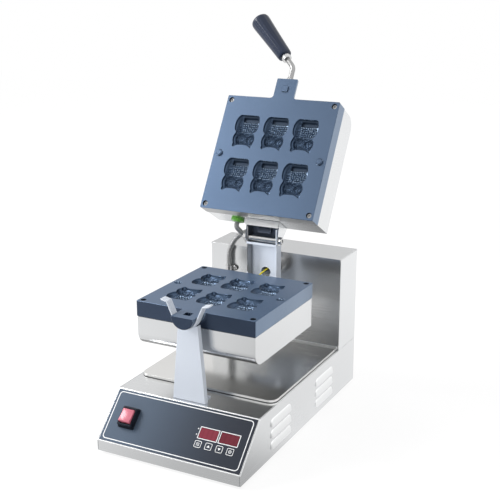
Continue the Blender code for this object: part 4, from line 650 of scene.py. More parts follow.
def raised(outline, low, high):
    """An outline extruded from one height to another."""
    return loft([level(outline, z) for z in (low, high)])


def band(outer, inner, low, high):
    """A closed band between two outlines with as many points."""
    rings = ((outer, low), (outer, high), (inner, high), (inner, low))
    return loft([level(outline, z) for outline, z in rings], closed=True)


def printed_frame(centre, size, line, radii, low, steps=6):
    """A printed line round a rectangle: its outer size, its width and the radii of both its corners."""
    outer, inner = (
        rounded_rectangle(size[0] - shrink, size[1] - shrink, radius, centre, steps)
        for shrink, radius in zip((0.0, 2 * line), radii)
    )
    return band(outer, inner, low, low + PRINT_THICKNESS)


def merged(meshes):
    """One mesh of several, each given with its own matrix."""
    whole = bmesh.new()
    for bm, matrix in meshes:
        if matrix is not None:
            bm.transform(matrix)
        part = bpy.data.meshes.new("part")
        bm.to_mesh(part)
        bm.free()
        whole.from_mesh(part)
        bpy.data.meshes.remove(part)
    return whole


def spline_point(a, b, c, d, t):
    """A point between b and c on the smooth curve through four points."""
    square, cube = (a * 2 - b * 5 + c * 4 - d) * t**2, (b * 3 - a - c * 3 + d) * t**3
    return (b * 2 + (c - a) * t + square + cube) / 2


def smooth_route(points, spacing):
    """Evenly spaced points on a smooth curve through a route, whose first and last runs stay straight."""
    points = [Vector(p) for p in points]
    dense = [points[0]]
    for corners in zip(points, points[1:], points[2:], points[3:]):
        dense += [spline_point(*corners, i / 28) for i in range(28)]
    return even_points([*dense, *points[-2:]], spacing)


def relaxed(points, rounds):
    """Points eased towards their neighbours, their first and last few kept."""
    kept = 3
    for _ in range(rounds):
        eased = [(a + b + c) / 3 for a, b, c in zip(points, points[1:], points[2:])]
        points = [*points[:kept], *eased[kept - 1:len(eased) - kept + 1], *points[-kept:]]
    return points


def even_points(dense, spacing):
    """Points a given way apart along a line of points."""
    lengths = [0.0]
    for a, b in zip(dense, dense[1:]):
        lengths.append(lengths[-1] + (b - a).length)
    count = max(2, round(lengths[-1] / spacing))
    even = []
    k = 1
    for i in range(count + 1):
        target = lengths[-1] * i / count
        while k < len(lengths) - 1 and lengths[k] < target:
            k += 1
        share = (target - lengths[k - 1]) / (lengths[k] - lengths[k - 1])
        even.append(dense[k - 1].lerp(dense[k], share))
    return even


def rounded_path(points, radius, steps=10):
    """A path whose inner corners are rounded."""
    points = [Vector(p) for p in points]
    path = [points[0]]
    for before, corner, after in zip(points, points[1:], points[2:]):
        a = (before - corner).normalized()
        b = (after - corner).normalized()
        half = a.angle(b) / 2
        centre = corner + (a + b).normalized() * radius / math.sin(half)
        start = corner + a * radius / math.tan(half) - centre
        end = corner + b * radius / math.tan(half) - centre
        sweep = start.angle(end)
        for i in range(steps + 1):
            t = i / steps
            blended = start * math.sin((1 - t) * sweep) + end * math.sin(t * sweep)
            path.append(centre + blended / math.sin(sweep))
    path.append(points[-1])
    return path


def tube_rings(points, radii, sides):
    """Rings of points square to a line, without twist."""
    across = (points[1] - points[0]).orthogonal().normalized()
    rings = []
    for i, (point, radius) in enumerate(zip(points, radii)):
        ahead = (points[min(i + 1, len(points) - 1)] - points[max(i - 1, 0)]).normalized()
        across = (across - ahead * across.dot(ahead)).normalized()
        up = ahead.cross(across)
        angles = [2 * math.pi * k / sides for k in range(sides)]
        rings.append([point + (across * math.cos(a) + up * math.sin(a)) * radius for a in angles])
    return rings


def smooth_step(low, high, value):
    t = min(1.0, max(0.0, (value - low) / (high - low)))
    return t * t * (3 - 2 * t)


def dome(x, y, centre, size, height):
    """Height of a half ellipsoid over a point."""
    room = 1 - ((x - centre[0]) / size[0]) ** 2 - ((y - centre[1]) / size[1]) ** 2
    return height * math.sqrt(room) if room > 0 else 0.0


def ridge(value, middle, width):
    return math.exp(-(((value - middle) / width) ** 2))


# Owl cavity, in millimetres from its centre: the feet lie towards the lug, at -Y, and the ears at +Y
OWL_OUTLINE = (
    (0.0, -29.0), (9.0, -29.0), (16.4, -29.0), (19.4, -27.4), (21.2, -22.0), (22.2, -14.0), (21.8, -6.0),
    (19.6, -0.8), (17.0, 2.0), (17.8, 6.0), (19.8, 12.0), (19.4, 18.0), (17.8, 22.5), (18.0, 26.0),
    (15.8, 29.0), (12.8, 27.6), (8.5, 25.4), (0.0, 24.5), (-9.0, 25.2), (-13.6, 27.4), (-16.6, 29.0),
    (-19.0, 26.5), (-18.6, 22.5), (-20.4, 17.0), (-20.6, 11.0), (-18.8, 5.5), (-17.6, 2.2), (-20.8, -2.0),
    (-22.3, -8.0), (-22.2, -16.0), (-20.2, -22.6), (-16.8, -27.4), (-13.0, -29.0), (-7.0, -29.0),
)
# Scale of the outline and height, from above the mouth down the wall to the floor
OWL_WALL = ((1.030, 0.45), (1.0, -0.35), (0.988, -1.8), (0.975, -3.0), (0.955, -3.8), (0.925, -4.15))
OWL_FLOOR = 4.2
OWL_EYES = (((-8.0, 13.4), 8.8), ((9.8, 13.8), 7.0))
OWL_EARS = ((-16.2, 25.6), (15.4, 25.6))
OWL_LEDGE_X = -10.0
OWL_LEDGE_Y = -18.6
OWL_LEDGE_TOP = -1.5
OWL_NECK = 1.5
OWL_REACH = (25.0, 31.0)
SCALE_WIDTH = 4.8
SCALE_HEIGHT = 3.9


def eye_relief(x, y, centre, radius):
    """Two concentric grooves round a domed pupil."""
    r = math.hypot(x - centre[0], y - centre[1]) / radius
    if r > 1.6:
        return 0.0
    turn = math.atan2(y - centre[1], x - centre[0])
    lashes = 0.6 * math.cos(15 * turn) * smooth_step(1.05, 1.15, r) * (1 - smooth_step(1.38, 1.5, r))
    pupil = 1.5 * math.sqrt(max(0.0, 1 - (r / 0.36) ** 2))
    return 1.5 * ridge(r, 0.98, 0.11) + 1.2 * ridge(r, 0.66, 0.10) + pupil + lashes


def scale_relief(x, y):
    """Grooves round overlapping scales, in offset rows."""
    row = math.floor((y + 22) / SCALE_HEIGHT)
    for k in (row, row + 1):
        top = k * SCALE_HEIGHT - 22 + SCALE_HEIGHT * 0.6
        shift = SCALE_WIDTH / 2 if k % 2 else 0.0
        column = round((x - shift) / SCALE_WIDTH)
        r = math.hypot((x - shift - column * SCALE_WIDTH) / (SCALE_WIDTH / 2), (y - top) / SCALE_HEIGHT)
        if r < 1.05:
            return 1.5 * smooth_step(0.1, 0.85, r) - 1.5 * smooth_step(0.88, 1.02, r)
    return 0.0


def owl_relief(x, y):
    """Depth of the owl's form below the cavity's flat floor."""
    head = dome(x, y, (-0.5, 13.0), (20.0, 12.6), 3.1)
    body = dome(x, y, (3.5, -8.6), (17.5, 11.0), 2.7)
    wing = dome(x, y, (-16.4, -11.5), (6.0, 15.5), 2.6)
    depth = (head**4 + body**4 + wing**4) ** 0.25
    for centre, radius in OWL_EYES:
        depth += eye_relief(x, y, centre, radius)
    depth += dome(x, y, (1.8, 7.0), (2.3, 3.8), 1.9)
    for ex, ey in OWL_EARS:
        depth += 1.1 * math.exp(-((x - ex) ** 2 + (y - ey) ** 2) / 5.0)
    on_belly = smooth_step(-10.2, -9.0, x) * smooth_step(OWL_LEDGE_Y + 3.4, OWL_LEDGE_Y + 4.2, y)
    on_belly *= 1 - smooth_step(-0.5, 1.2, y)
    depth += scale_relief(x, y) * on_belly
    on_wing = (1 - smooth_step(-11.4, -10.2, x)) * smooth_step(-27.0, -25.0, y)
    stripes = 0.95 * (0.5 + 0.5 * math.cos(2 * math.pi * (x + 0.02 * y * y) / 2.9))
    ovals = 1.2 * (0.5 + 0.5 * math.cos(2 * math.pi * y / 4.6))
    lower_wing = smooth_step(-13.5, -12.0, y) * (1 - smooth_step(0.0, 1.6, y))
    depth += on_wing * (stripes * (1 - lower_wing) + ovals * lower_wing)
    ruffle = abs(math.sin(math.pi * x / 3.6))
    on_ledge = smooth_step(OWL_LEDGE_X - 0.5, OWL_LEDGE_X + 0.5, x)
    depth += 1.3 * ruffle * on_ledge * ridge(y, OWL_LEDGE_Y + 2.0, 1.5)
    ledge = 1 - smooth_step(OWL_LEDGE_Y - 0.5, OWL_LEDGE_Y + 0.5, y - 0.9 * ruffle)
    return depth * (1 - on_ledge * ledge) + 4.8 * on_ledge * ledge


def owl_outline(count):
    """Evenly spaced points on a smooth closed curve through the outline."""
    points = [Vector((x, y, 0.0)) for x, y in OWL_OUTLINE]
    size = len(points)
    dense = []
    for i in range(size):
        corners = [points[(i + k - 1) % size] for k in range(4)]
        dense += [spline_point(*corners, step / 10) for step in range(10)]
    dense.append(points[0])
    length = sum((b - a).length for a, b in zip(dense, dense[1:]))
    return even_points(dense, length / count)[:-1]


def owl_cutter(spokes, rings):
    """The closed form that one cavity is cut with, its face at zero height."""
    outline = owl_outline(spokes)
    levels = [[Vector((0.0, 0.0, OWL_WALL[0][1]))]]
    levels += [[Vector((p.x * scale, p.y * scale, z)) for p in outline] for scale, z in OWL_WALL]
    last = OWL_WALL[-1][0]
    for i in range(1, rings):
        scale = last * (1 - i / rings)
        blend = smooth_step(0.0, 0.10, last - scale)
        levels.append([
            Vector((p.x * scale, p.y * scale, -OWL_FLOOR - blend * owl_relief(p.x * scale, p.y * scale)))
            for p in outline
        ])
    levels.append([Vector((0.0, 0.0, -OWL_FLOOR - owl_relief(0.0, 0.0)))])
    bm = loft(levels)
    bm.transform(Matrix.Scale(MM, 4))
    return bm


# A casting's finishes above that of its own face, and the slots of all of them. The cavity, head, step and bore
# finishes are darker copies of the coating, painted shade in the recesses; the edge finish is a lighter copy,
# painted light, the front finish a darker copy, painted shade, and the rear's steel is a painted reflection.
MOULD_FINISHES = (
    "mould cavity with painted shade and glints", "mould bore with painted shade", "mould step with painted shade", "mould side with painted light", "mould front with painted shade", "conduit steel", "mould head with painted shade",
)
FACE, CAVITY, BORE, STEP, EDGE, FRONT, REAR, HEAD = range(8)


def cavity_slot(place):
    """The finish of a point of a cavity: the step below an owl's belly, its head and wing, or its belly."""
    for centre in owl_centres():
        x, y = (place.x - centre[0]) / MM, (place.y - centre[1]) / MM
        if abs(x) < OWL_REACH[0] and abs(y) < OWL_REACH[1]:
            # The deep step below the belly takes a dark copy of the coating, painted shade.
            if x > OWL_LEDGE_X and y < OWL_LEDGE_Y - 0.2 and place.z < OWL_LEDGE_TOP * MM:
                return STEP
            return HEAD if y > OWL_NECK or x < OWL_LEDGE_X else CAVITY
    return CAVITY


def owl_centres():
    middle = (MOULD_FRONT + MOULD_REAR) / 2
    return [(i * OWL_PITCH_X, middle + j * OWL_PITCH_Y / 2) for j in (-1, 1) for i in (-1, 0, 1)]


def screw_places():
    ys = (MOULD_FRONT + SCREW_FROM_EDGE, MOULD_REAR - SCREW_FROM_EDGE)
    return [(side * SCREW_X, y) for y in ys for side in (-1, 1)]


def lug_form():
    """Half of the round lug, flared where it grows out of the plate."""
    tip = MOULD_FRONT - LUG_LENGTH
    places = [(tip, LUG_RADIUS - 0.0009), (tip + 0.0009, LUG_RADIUS)]
    for i in range(9):
        t = i / 8
        flare = 1 - math.sqrt(1 - t * t)
        places.append((MOULD_FRONT - LUG_FILLET * (1 - t), LUG_RADIUS + LUG_FILLET * flare))
    places.append((MOULD_FRONT + LUG_ROOT, LUG_RADIUS + LUG_FILLET))
    rings = []
    for y, radius in places:
        half = arc((0.0, 0.0), radius, math.pi, 2 * math.pi, 40)
        rings.append([Vector((x, y, z)) for x, z in half])
    return loft(rings)


def tool_object(name, bm, index):
    """A cutter whose faces carry a material index."""
    bmesh.ops.recalc_face_normals(bm, faces=bm.faces)
    for face in bm.faces:
        face.material_index = index
    mesh = bpy.data.meshes.new(name)
    bm.to_mesh(mesh)
    bm.free()
    for _ in range(3):
        mesh.materials.append(None)
    obj = bpy.data.objects.new(name, mesh)
    bpy.context.collection.objects.link(obj)
    return obj


def carved(body, tools):
    """The mesh of a body after unions and cuts."""
    for operation, tool in tools:
        modifier = body.modifiers.new(tool.name, "BOOLEAN")
        modifier.operation = operation
        modifier.object = tool
        modifier.solver = "EXACT"
    bpy.context.view_layer.update()
    graph = bpy.context.evaluated_depsgraph_get()
    bm = bmesh.new()
    bm.from_mesh(bpy.data.meshes.new_from_object(body.evaluated_get(graph)))
    for obj in [body, *(tool for _, tool in tools)]:
        bpy.data.objects.remove(obj, do_unlink=True)
    bmesh.ops.remove_doubles(bm, verts=bm.verts, dist=TINY / 4)
    return bm


def plate_body():
    """The casting's block: rounded upright corners and slightly broken edges."""
    length = MOULD_REAR - MOULD_FRONT
    middle = (MOULD_FRONT + MOULD_REAR) / 2
    outline = rounded_rectangle(MOULD_WIDTH, length, 0.0022, (0.0, middle))
    bottom = -PLATE_THICKNESS
    rings = []
    for inset, z in ((0.0005, 0.0), (0.0, -0.0005), (0.0, bottom + 0.0012), (0.0012, bottom)):
        across, along = 1 - inset / (MOULD_WIDTH / 2), 1 - inset / (length / 2)
        rings.append(level([(x * across, middle + (y - middle) * along) for x, y in outline], z))
    return loft(rings)


def screw_holes():
    """The counterbored holes of a plate's four screws."""
    head_bottom = SCREW_SUNK + SCREW_HEAD_HEIGHT + SCREW_CLEARANCE
    wide, narrow = SCREW_HEAD_RADIUS + SCREW_CLEARANCE, SCREW_HOLE_RADIUS
    bore = [
        (0.0, ABOVE), (wide + 0.0013, ABOVE), (wide, -0.0003), (wide, -head_bottom), (narrow, -head_bottom),
        (narrow, -head_bottom - SCREW_LENGTH), (0.0, -head_bottom - SCREW_LENGTH),
    ]
    return merged([(turned(bore, 32), at(x, y)) for x, y in screw_places()])


def dowel_places():
    return [at(side * DOWEL_X, MOULD_REAR - DOWEL_FROM_REAR) for side in (-1, 1)]


def key_outline(margin, radius):
    """The key's rounded square, larger by a margin."""
    side = KEY_BLOCK_SIDE + margin
    return rounded_rectangle(side, side, radius, (0.0, KEY_BLOCK_Y))


def upper_fittings(name):
    """The upper plate's two dowels and key block, each in a shallow groove."""
    left, right = dowel_places()
    floor = -GROOVE_DEPTH
    groove = band(key_outline(0.0022, 0.0011), key_outline(0.0008, 0.0006), floor, floor + 0.002)
    inner, outer = DOWEL_GROOVE
    rim = turned([(outer, floor), (outer, ABOVE), (inner, ABOVE), (inner, floor)], 40, closed=True)
    grooves = merged([(groove, None), (rim, left), (rim.copy(), right)])
    key = raised(key_outline(0.0, 0.0006), -0.002, KEY_BLOCK_SHOWN)
    dowels = merged([*((turned(DOWEL_PROFILE, 40), place) for place in (left, right)), (key, None)])
    return [
        ("DIFFERENCE", tool_object(f"{name}_rims", grooves, CAVITY)),
        ("UNION", tool_object(f"{name}_dowels", dowels, FACE)),
    ]


def lower_fittings(name):
    """The lower plate's sockets for the dowels and the key."""
    half = KEY_BLOCK_SIDE / 2 + 0.0011
    key = block((-half, KEY_BLOCK_Y - half, -KEY_BLOCK_HEIGHT - 0.0006), (half, KEY_BLOCK_Y + half, ABOVE))
    sockets = merged([*((turned(DOWEL_SOCKET, 40), place) for place in dowel_places()), (key, None)])
    return [("DIFFERENCE", tool_object(f"{name}_sockets", sockets, CAVITY))]


def mould_plate(name, body, face_matrix, face_finish, fittings, sizes):
    """A plate with its lug, six owl cavities, counterbores, dowels and key."""
    owls = merged([(owl_cutter(sizes.owl_spokes, sizes.owl_rings), at(x, y)) for x, y in owl_centres()])
    tools = [
        ("UNION", tool_object(f"{name}_lug", lug_form(), FACE)),
        *fittings(name),
        ("DIFFERENCE", tool_object(f"{name}_bores", screw_holes(), BORE)),
        ("DIFFERENCE", tool_object(f"{name}_owls", owls, CAVITY)),
    ]
    bm = carved(tool_object(f"{name}_block", plate_body(), FACE), tools)
    casting = piece(
        f"{name}_casting", bm, body, [face_finish, *MOULD_FINISHES], face_matrix,
        replaces=(name,), angle=38.0,
    )
    turn = face_matrix.to_3x3()
    across, rearward, outward = (turn @ Vector(axis) for axis in ((1, 0, 0), (0, 1, 0), (0, 0, 1)))
    to_plate = face_matrix.inverted()
    # Painted light and shade on the rim: sideways faces take a lighter copy of the coating, the rest a darker one,
    # and rear faces steel as a painted reflection.
    for polygon in casting.data.polygons:
        out = polygon.normal.dot(outward)
        if abs(out) > 0.9999:
            polygon.use_smooth = False
        if polygon.material_index == CAVITY:
            polygon.material_index = cavity_slot(to_plate @ polygon.center)
        elif polygon.material_index == FACE and out < 0.3:
            polygon.material_index = EDGE if abs(polygon.normal.dot(across)) > 0.7 else FRONT
            if polygon.normal.dot(rearward) > 0.7:
                polygon.material_index = REAR


def socket_screw(steps=36):
    """A cap screw with a hexagon socket, its head's top at zero height."""
    def hexagon(radius, height):
        points = []
        for i in range(steps):
            turn = 2 * math.pi * i / steps
            reach = radius * math.cos(math.pi / 6) / math.cos((turn % (math.pi / 3)) - math.pi / 6)
            points.append(Vector((reach * math.cos(turn), reach * math.sin(turn), height)))
        return points

    head, shank = SCREW_HEAD_RADIUS, SCREW_SHANK_RADIUS
    seat = -SCREW_HEAD_HEIGHT
    foot = seat - SCREW_LENGTH
    rounds = (
        (head - 0.0005, 0.0), (head - 0.0001, -0.0003), (head, -0.0008), (head, seat), (shank, seat),
        (shank, foot + 0.001), (0.0, foot),
    )
    socket = [circle(0.0, -0.0029, steps), hexagon(0.0019, -0.0024), hexagon(0.0021, 0.0)]
    return loft([*socket, *(circle(radius, height, steps) for radius, height in rounds)])


def pan_head(radius, steps=24):
    """A small domed screw head with a cross slot, seated at zero height."""
    shares = ((1.0, 0.15), (0.8, 0.45), (0.45, 0.6), (0.0, 0.62))
    profile = [(0.0, -0.001), (radius, -0.001), *((radius * out, radius * up) for out, up in shares)]
    long, narrow = radius * 0.6, radius * 0.11
    slots = [
        block((-x, -y, radius * 0.3), (x, y, radius)) for x, y in ((long, narrow), (narrow, long))
    ]
    tools = [("DIFFERENCE", tool_object(f"slot_{i}", slot, 0)) for i, slot in enumerate(slots)]
    return carved(tool_object("screw_dome", turned(profile, steps), 0), tools)


def length_property(name, description, default):
    return FloatProperty(
        name=name, description=description, default=default, subtype="DISTANCE", unit="LENGTH"
    )


def colour_property(name, description, default):
    return FloatVectorProperty(name=name, description=description, default=default, subtype="COLOR")


def place_property(name, description, default):
    return FloatVectorProperty(
        name=name, description=description, default=default, subtype="TRANSLATION", unit="LENGTH"
    )


def power_property(name, description, default):
    return FloatProperty(name=name, description=description, default=default, unit="POWER")


class WaffleSizes(bpy.types.PropertyGroup):
    """Sizes of the fine pieces."""

    edge: length_property("Sheet edge", "Rounding of sheet-steel edges", 0.00035)
    rib_pitch: length_property("Conduit rib pitch", "Distance from rib to rib along the conduit", 0.0018)
    rib_depth: length_property("Conduit rib depth", "Depth of the grooves between ribs", 0.00055)
    print_line: length_property("Printed line", "Width of the printed border", 0.0013)
    owl_spokes: IntProperty(name="Owl spokes", description="Points round each cavity", default=176, min=48)
    owl_rings: IntProperty(
        name="Owl rings", description="Rings across each cavity's floor", default=44, min=12
    )


class WaffleColours(bpy.types.PropertyGroup):
    """Colours of the finishes, in linear light."""

    steel: colour_property("Brushed steel", "Sheet steel", (0.80, 0.81, 0.82))
    satin: colour_property("Satin steel", "Arm, cradle, column and bracket", (0.66, 0.71, 0.79))
    polished: colour_property("Polished steel", "Rod, pin, screws and bearings", (0.66, 0.66, 0.66))
    mould: colour_property("Mould coating", "Coating of the two castings", (0.079, 0.130, 0.219))
    film: colour_property("Panel film", "Film at the displays", (0.021, 0.026, 0.039))
    film_painted_sheen: colour_property("Panel film, switch end", "Painted sheen of the film round the switch", (0.082, 0.118, 0.172))
    rocker: colour_property("Rocker", "Face of the rocker", (0.59, 0.15, 0.21))
    window: colour_property("Display window", "Tinted windows", (0.23, 0.036, 0.056))
    gland: colour_property("Gland", "Upper gland", (0.13, 0.42, 0.05))
    grip: colour_property("Grip", "Resin grip", (0.012, 0.020, 0.044))
    black: colour_property("Black plastic", "Glands, washer and the painted shade line", (0.016, 0.017, 0.020))
    wire: colour_property("Earth wire", "Insulation of the earth wire", (0.72, 0.60, 0.02))


class WaffleStage(bpy.types.PropertyGroup):
    """Camera, lamps and background."""

    lens: FloatProperty(name="Lens", description="Focal length", default=70.49, unit="CAMERA")
    camera: place_property("Camera", "Place of the camera in machine coordinates", (0.7148, -1.1096, 0.7176))
    target: place_property(
        "Target", "Point that the camera looks at, in machine coordinates", (0.0243, 0.2250, 0.2840)
    )
    key_power: power_property("Key lamp", "Power of the large soft lamp", 28.0)
    fill_power: power_property("Fill lamp", "Power of the near lamp", 5.5)
    spot_power: power_property("Spot", "Power of the spot on the hinge", 30.0)
    room_level: FloatProperty(name="Room level", description="Strength of the even light", default=0.80)


class WAFFLE_OT_finishes(bpy.types.Operator):
    """Make the machine's finishes"""

    bl_idname = "waffle.finishes"
    bl_label = "Finishes"

    def execute(self, context):
        colours = context.scene.waffle_colours
        brushed_steel("brushed steel", colours.steel, 0.24)
        satin_steel("satin steel", colours.satin, 0.42)
        # Painted shade: brushed steel that darkens to a fifth towards its right end.
        brushed_steel("steel with painted shade", colours.steel, 0.24, painted_shade_colour=shade(colours.steel, 0.20))
        brushed_steel("deck steel", (0.87, 0.865, 0.85), 0.15)
        brushed_steel("pressed steel", (0.93, 0.94, 0.95), 0.32)
        brushed_steel("conduit steel", shade(colours.steel, 0.46), 0.30)
        polished_steel("polished steel", colours.polished, 0.20)
        polished_steel("heater sheath", shade(colours.polished, 0.55), 0.40)
        # Painted shade: a dark steel for the faces between the bracket's ears and the sheet behind the pin.
        polished_steel("dark steel as painted shade", (0.085, 0.100, 0.135), 0.38)
        coated_casting("mould face", colours.mould, 0.38, 0.34)
        # Painted light for the upper plate's face: a paler and a darker copy of the coating, laid along a slant.
        painted_light_gradient = (shade(colours.mould, 1.32), shade(colours.mould, 0.82))
        coated_casting("upper mould face with painted light", colours.mould, 0.38, 0.34, painted_light_gradient=painted_light_gradient)
        # Painted shade in the recesses: the cavity, head, step and bore take darker copies of the coating, and the
        # cavity also has painted glints.
        coated_casting("mould cavity with painted shade and glints", shade(colours.mould, 0.54), 0.27, 0.80, painted_glints=0.75)
        coated_casting("mould head with painted shade", shade(colours.mould, 0.60), 0.31, 0.80)
        # Painted light and shade: a lighter copy of the coating for the rim's sides and a darker one for its other
        # faces.
        coated_casting("mould side with painted light", (0.20, 0.27, 0.38), 0.30, 0.85)
        coated_casting("mould front with painted shade", (0.036, 0.056, 0.098), 0.34, 0.70)
        coated_casting("mould step with painted shade", shade(colours.mould, 0.36), 0.30, 0.60)
        coated_casting("mould bore with painted shade", shade(colours.mould, 0.16), 0.55, 0.2)
        panel_film("panel film", colours.film, colours.film_painted_sheen)
        display_glass("display window", colours.window)
        # Painted shade: a darker copy of the window finish for the right-hand display.
        display_glass("display window with painted shade", shade(colours.window, 0.68))
        moulded_plastic("black plastic", colours.black, 0.36)
        moulded_plastic("switch black", (0.010, 0.014, 0.024), 0.38, specular=0.15)
        moulded_plastic("rocker red", colours.rocker, 0.26, coat=0.4, texture=700.0)
        moulded_plastic("gland green", colours.gland, 0.34, coat=0.2)
        streaked_resin("grip resin", colours.grip, 0.30)
        moulded_plastic("foot rubber", (0.025, 0.025, 0.026), 0.75)
        moulded_plastic("wire yellow", colours.wire, 0.42)
        moulded_plastic("wire green", (0.05, 0.28, 0.05), 0.42)
        moulded_plastic("white print", (0.92, 0.94, 0.97), 0.50, texture=2400.0)
        circuit_board("circuit board", (0.02, 0.16, 0.06))
        return {"FINISHED"}


class WAFFLE_OT_body(bpy.types.Operator):
    """Finish the base, tower, deck plate and arm"""

    bl_idname = "waffle.body"
    bl_label = "Base and tower"

    def execute(self, context):
        edge = context.scene.waffle_sizes.edge
        for node in (
            "base_top_sheet", "base_bottom_plate", "tower_shell", "tower_lid", "rear_panel", "shaft_bracket",
        ):
            dressed(node, "brushed steel", edge)
        for name, side in (("left", -1), ("right", 1)):
            self.louvred_side(f"base_side_{name}", side, edge)
        dressed("deck_plate", "deck steel", edge)
        self.deck_painted_shade_line()
        self.tower_hem(edge)
        for node in ("support_arm", "lug_cradle"):
            dressed(node, "satin steel", edge)
        for node in ("foot_front_left", "foot_front_right", "foot_rear_left", "foot_rear_right"):
            dressed(node, "foot rubber", edge)
        dressed("mains_gland", "black plastic", edge)
        self.rear_screws()
        return {"FINISHED"}

    def deck_painted_shade_line(self):
        """A dark line of painted shade round the front and sides of the deck plate."""
        half, corner, front = DECK_PLATE_WIDTH / 2, DECK_PLATE_CORNER, DECK_PLATE_FRONT
        left_bend = arc((-half + corner, front + corner), corner, 1.5 * math.pi, math.pi, 8)
        right_bend = arc((half - corner, front + corner), corner, 2 * math.pi, 1.5 * math.pi, 8)
        rim = [(half, TOWER_FRONT - 0.001), *right_bend, *left_bend, (-half, TOWER_FRONT - 0.001)]
        near, far, top = -TINY, PAINTED_SHADE_LINE_PROUD, PAINTED_SHADE_LINE_HEIGHT
        section = ((near, 0.0), (far, 0.0), (far, top), (near, top))
        rings = []
        for x, y in rim:
            sideways = x - max(-half + corner, min(half - corner, x))
            outward = Vector((sideways, min(0.0, y - front - corner))).normalized()
            rings.append([
                Vector((x + outward.x * reach, y + outward.y * reach, DECK_HEIGHT + high))
                for reach, high in section
            ])
        # Black plastic serves as the painted shade.
        piece("deck_plate_painted_shade_line", loft(rings), "base", ["black plastic"], MACHINE)

    def tower_hem(self, edge):
        """The folded hem where the tower's front meets the deck plate."""
        half, foot = DECK_PLATE_WIDTH / 2, DECK_HEIGHT + DECK_PLATE_RISE
        hem = block((-half, TOWER_FRONT - HEM_PROUD, foot), (half, TOWER_FRONT - TINY, foot + HEM_HEIGHT))
        round_edges(piece("tower_foot_hem", hem, "base", ["pressed steel"], MACHINE), edge)

    def rear_screws(self):
        heads = merged([
            (pan_head(REAR_SCREW_RADIUS), facing((0, 1, 0), (x, BASE_DEPTH, z)))
            for x in (-REAR_SCREW_X, REAR_SCREW_X) for z in REAR_SCREW_HEIGHTS
        ])
        piece("rear_panel_screws", heads, "base", ["polished steel"], MACHINE)

    def louvred_side(self, node, side, edge):
        """A flat side with rounded pressed hoods over its slots."""
        front = ((0.0, 0.0), (LIP_HEIGHT, 0.0), (DECK_HEIGHT, SLOPE_RUN))
        outline = (*front, (DECK_HEIGHT, BASE_DEPTH), (0.0, BASE_DEPTH))
        outside = BASE_WIDTH / 2
        sheet = loft([[Vector((side * x, y, z)) for z, y in outline] for x in (outside - SHEET, outside)])
        places = [
            (start, LOUVRE_FIRST_HEIGHT + row * LOUVRE_PITCH)
            for start in (LOUVRES_FRONT, LOUVRES_REAR) for row in range(3)
        ]
        slots = []
        for start, low in places:
            corner = (side * (outside - 2 * SHEET), start + SLOT_INSET, low + SLOT_INSET / 3)
            far = (side * (outside + SHEET), start + LOUVRE_LENGTH - SLOT_INSET, low + SLOT_HEIGHT)
            slots.append((block(corner, far), None))
        slot_tool = tool_object(f"{node}_slots", merged(slots), 0)
        bm = carved(tool_object(f"{node}_sheet", sheet, 0), [("DIFFERENCE", slot_tool)])
        pressed = piece(
            f"{node}_sheet", bm, "base", ["brushed steel"], MACHINE, replaces=(node,)
        )
        round_edges(pressed, edge)
        hoods = merged([(self.hood(side, start, low), None) for start, low in places])
        piece(f"{node}_hoods", hoods, "base", ["pressed steel"], MACHINE, angle=50.0)

    def hood(self, side, start, low):
        """One hood: an awning in section, rounded off at both ends and open below."""
        rings = []
        steps, turns = 28, 8
        for i in range(steps + 1):
            t = 0.5 - 0.5 * math.cos(math.pi * i / steps)
            reach = min(t, 1 - t) * LOUVRE_LENGTH / HOOD_END
            rounding = math.sqrt(max(0.0, 1 - (1 - min(1.0, reach)) ** 2))
            proud = HOOD_SHEET + (LOUVRE_PROUD - HOOD_SHEET) * rounding
            high = LOUVRE_HEIGHT * (0.45 + 0.55 * rounding)
            ring = []
            for shrink, order in ((0.0, range(turns + 1)), (HOOD_SHEET * 0.9, range(turns, -1, -1))):
                for k in order:
                    a = math.pi / 2 * k / turns
                    x = BASE_WIDTH / 2 - TINY + max(0.0, proud - shrink) * math.sin(a)
                    z = low + max(0.001, high - shrink) * math.cos(a) ** 1.3
                    ring.append(Vector((side * x, start + t * LOUVRE_LENGTH, z)))
            rings.append(ring)
        return loft(rings)


class WAFFLE_OT_panel(bpy.types.Operator):
    """Finish the control panel: film, border, windows and their frames, lamps"""

    bl_idname = "waffle.panel"
    bl_label = "Control panel"

    def execute(self, context):
        line = context.scene.waffle_sizes.print_line
        dressed("panel_overlay", "panel film", FILM_EDGE)
        border = printed_frame((0.0, SLOPE_LENGTH / 2), BORDER_SIZE, line, (0.006, 0.005), FILM_TOP, 10)
        self.printed("panel_border_line", border)
        size = [side + 2 * DISPLAY_FRAME_REACH for side in DISPLAY_SIZE]
        frames = [
            (printed_frame((x, DISPLAY_UP), size, DISPLAY_FRAME_LINE, (0.0009, 0.0003), FILM_TOP), None)
            for x in DISPLAY_XS
        ]
        self.printed("display_frame_lines", merged(frames))
        x = DISPLAY_XS[0] - LAMP_TO_DISPLAY
        lamps = [(turned(LAMP_PROFILE, 20), at(x, DISPLAY_UP + up, FILM_TOP)) for up in LAMP_UPS]
        self.printed("panel_lamps", merged(lamps))
        dressed("display_window_left", "display window", THIN_EDGE)
        dressed("display_window_right", "display window with painted shade", THIN_EDGE)
        return {"FINISHED"}

    def printed(self, name, bm):
        piece(name, bm, "base", ["white print"], PANEL)


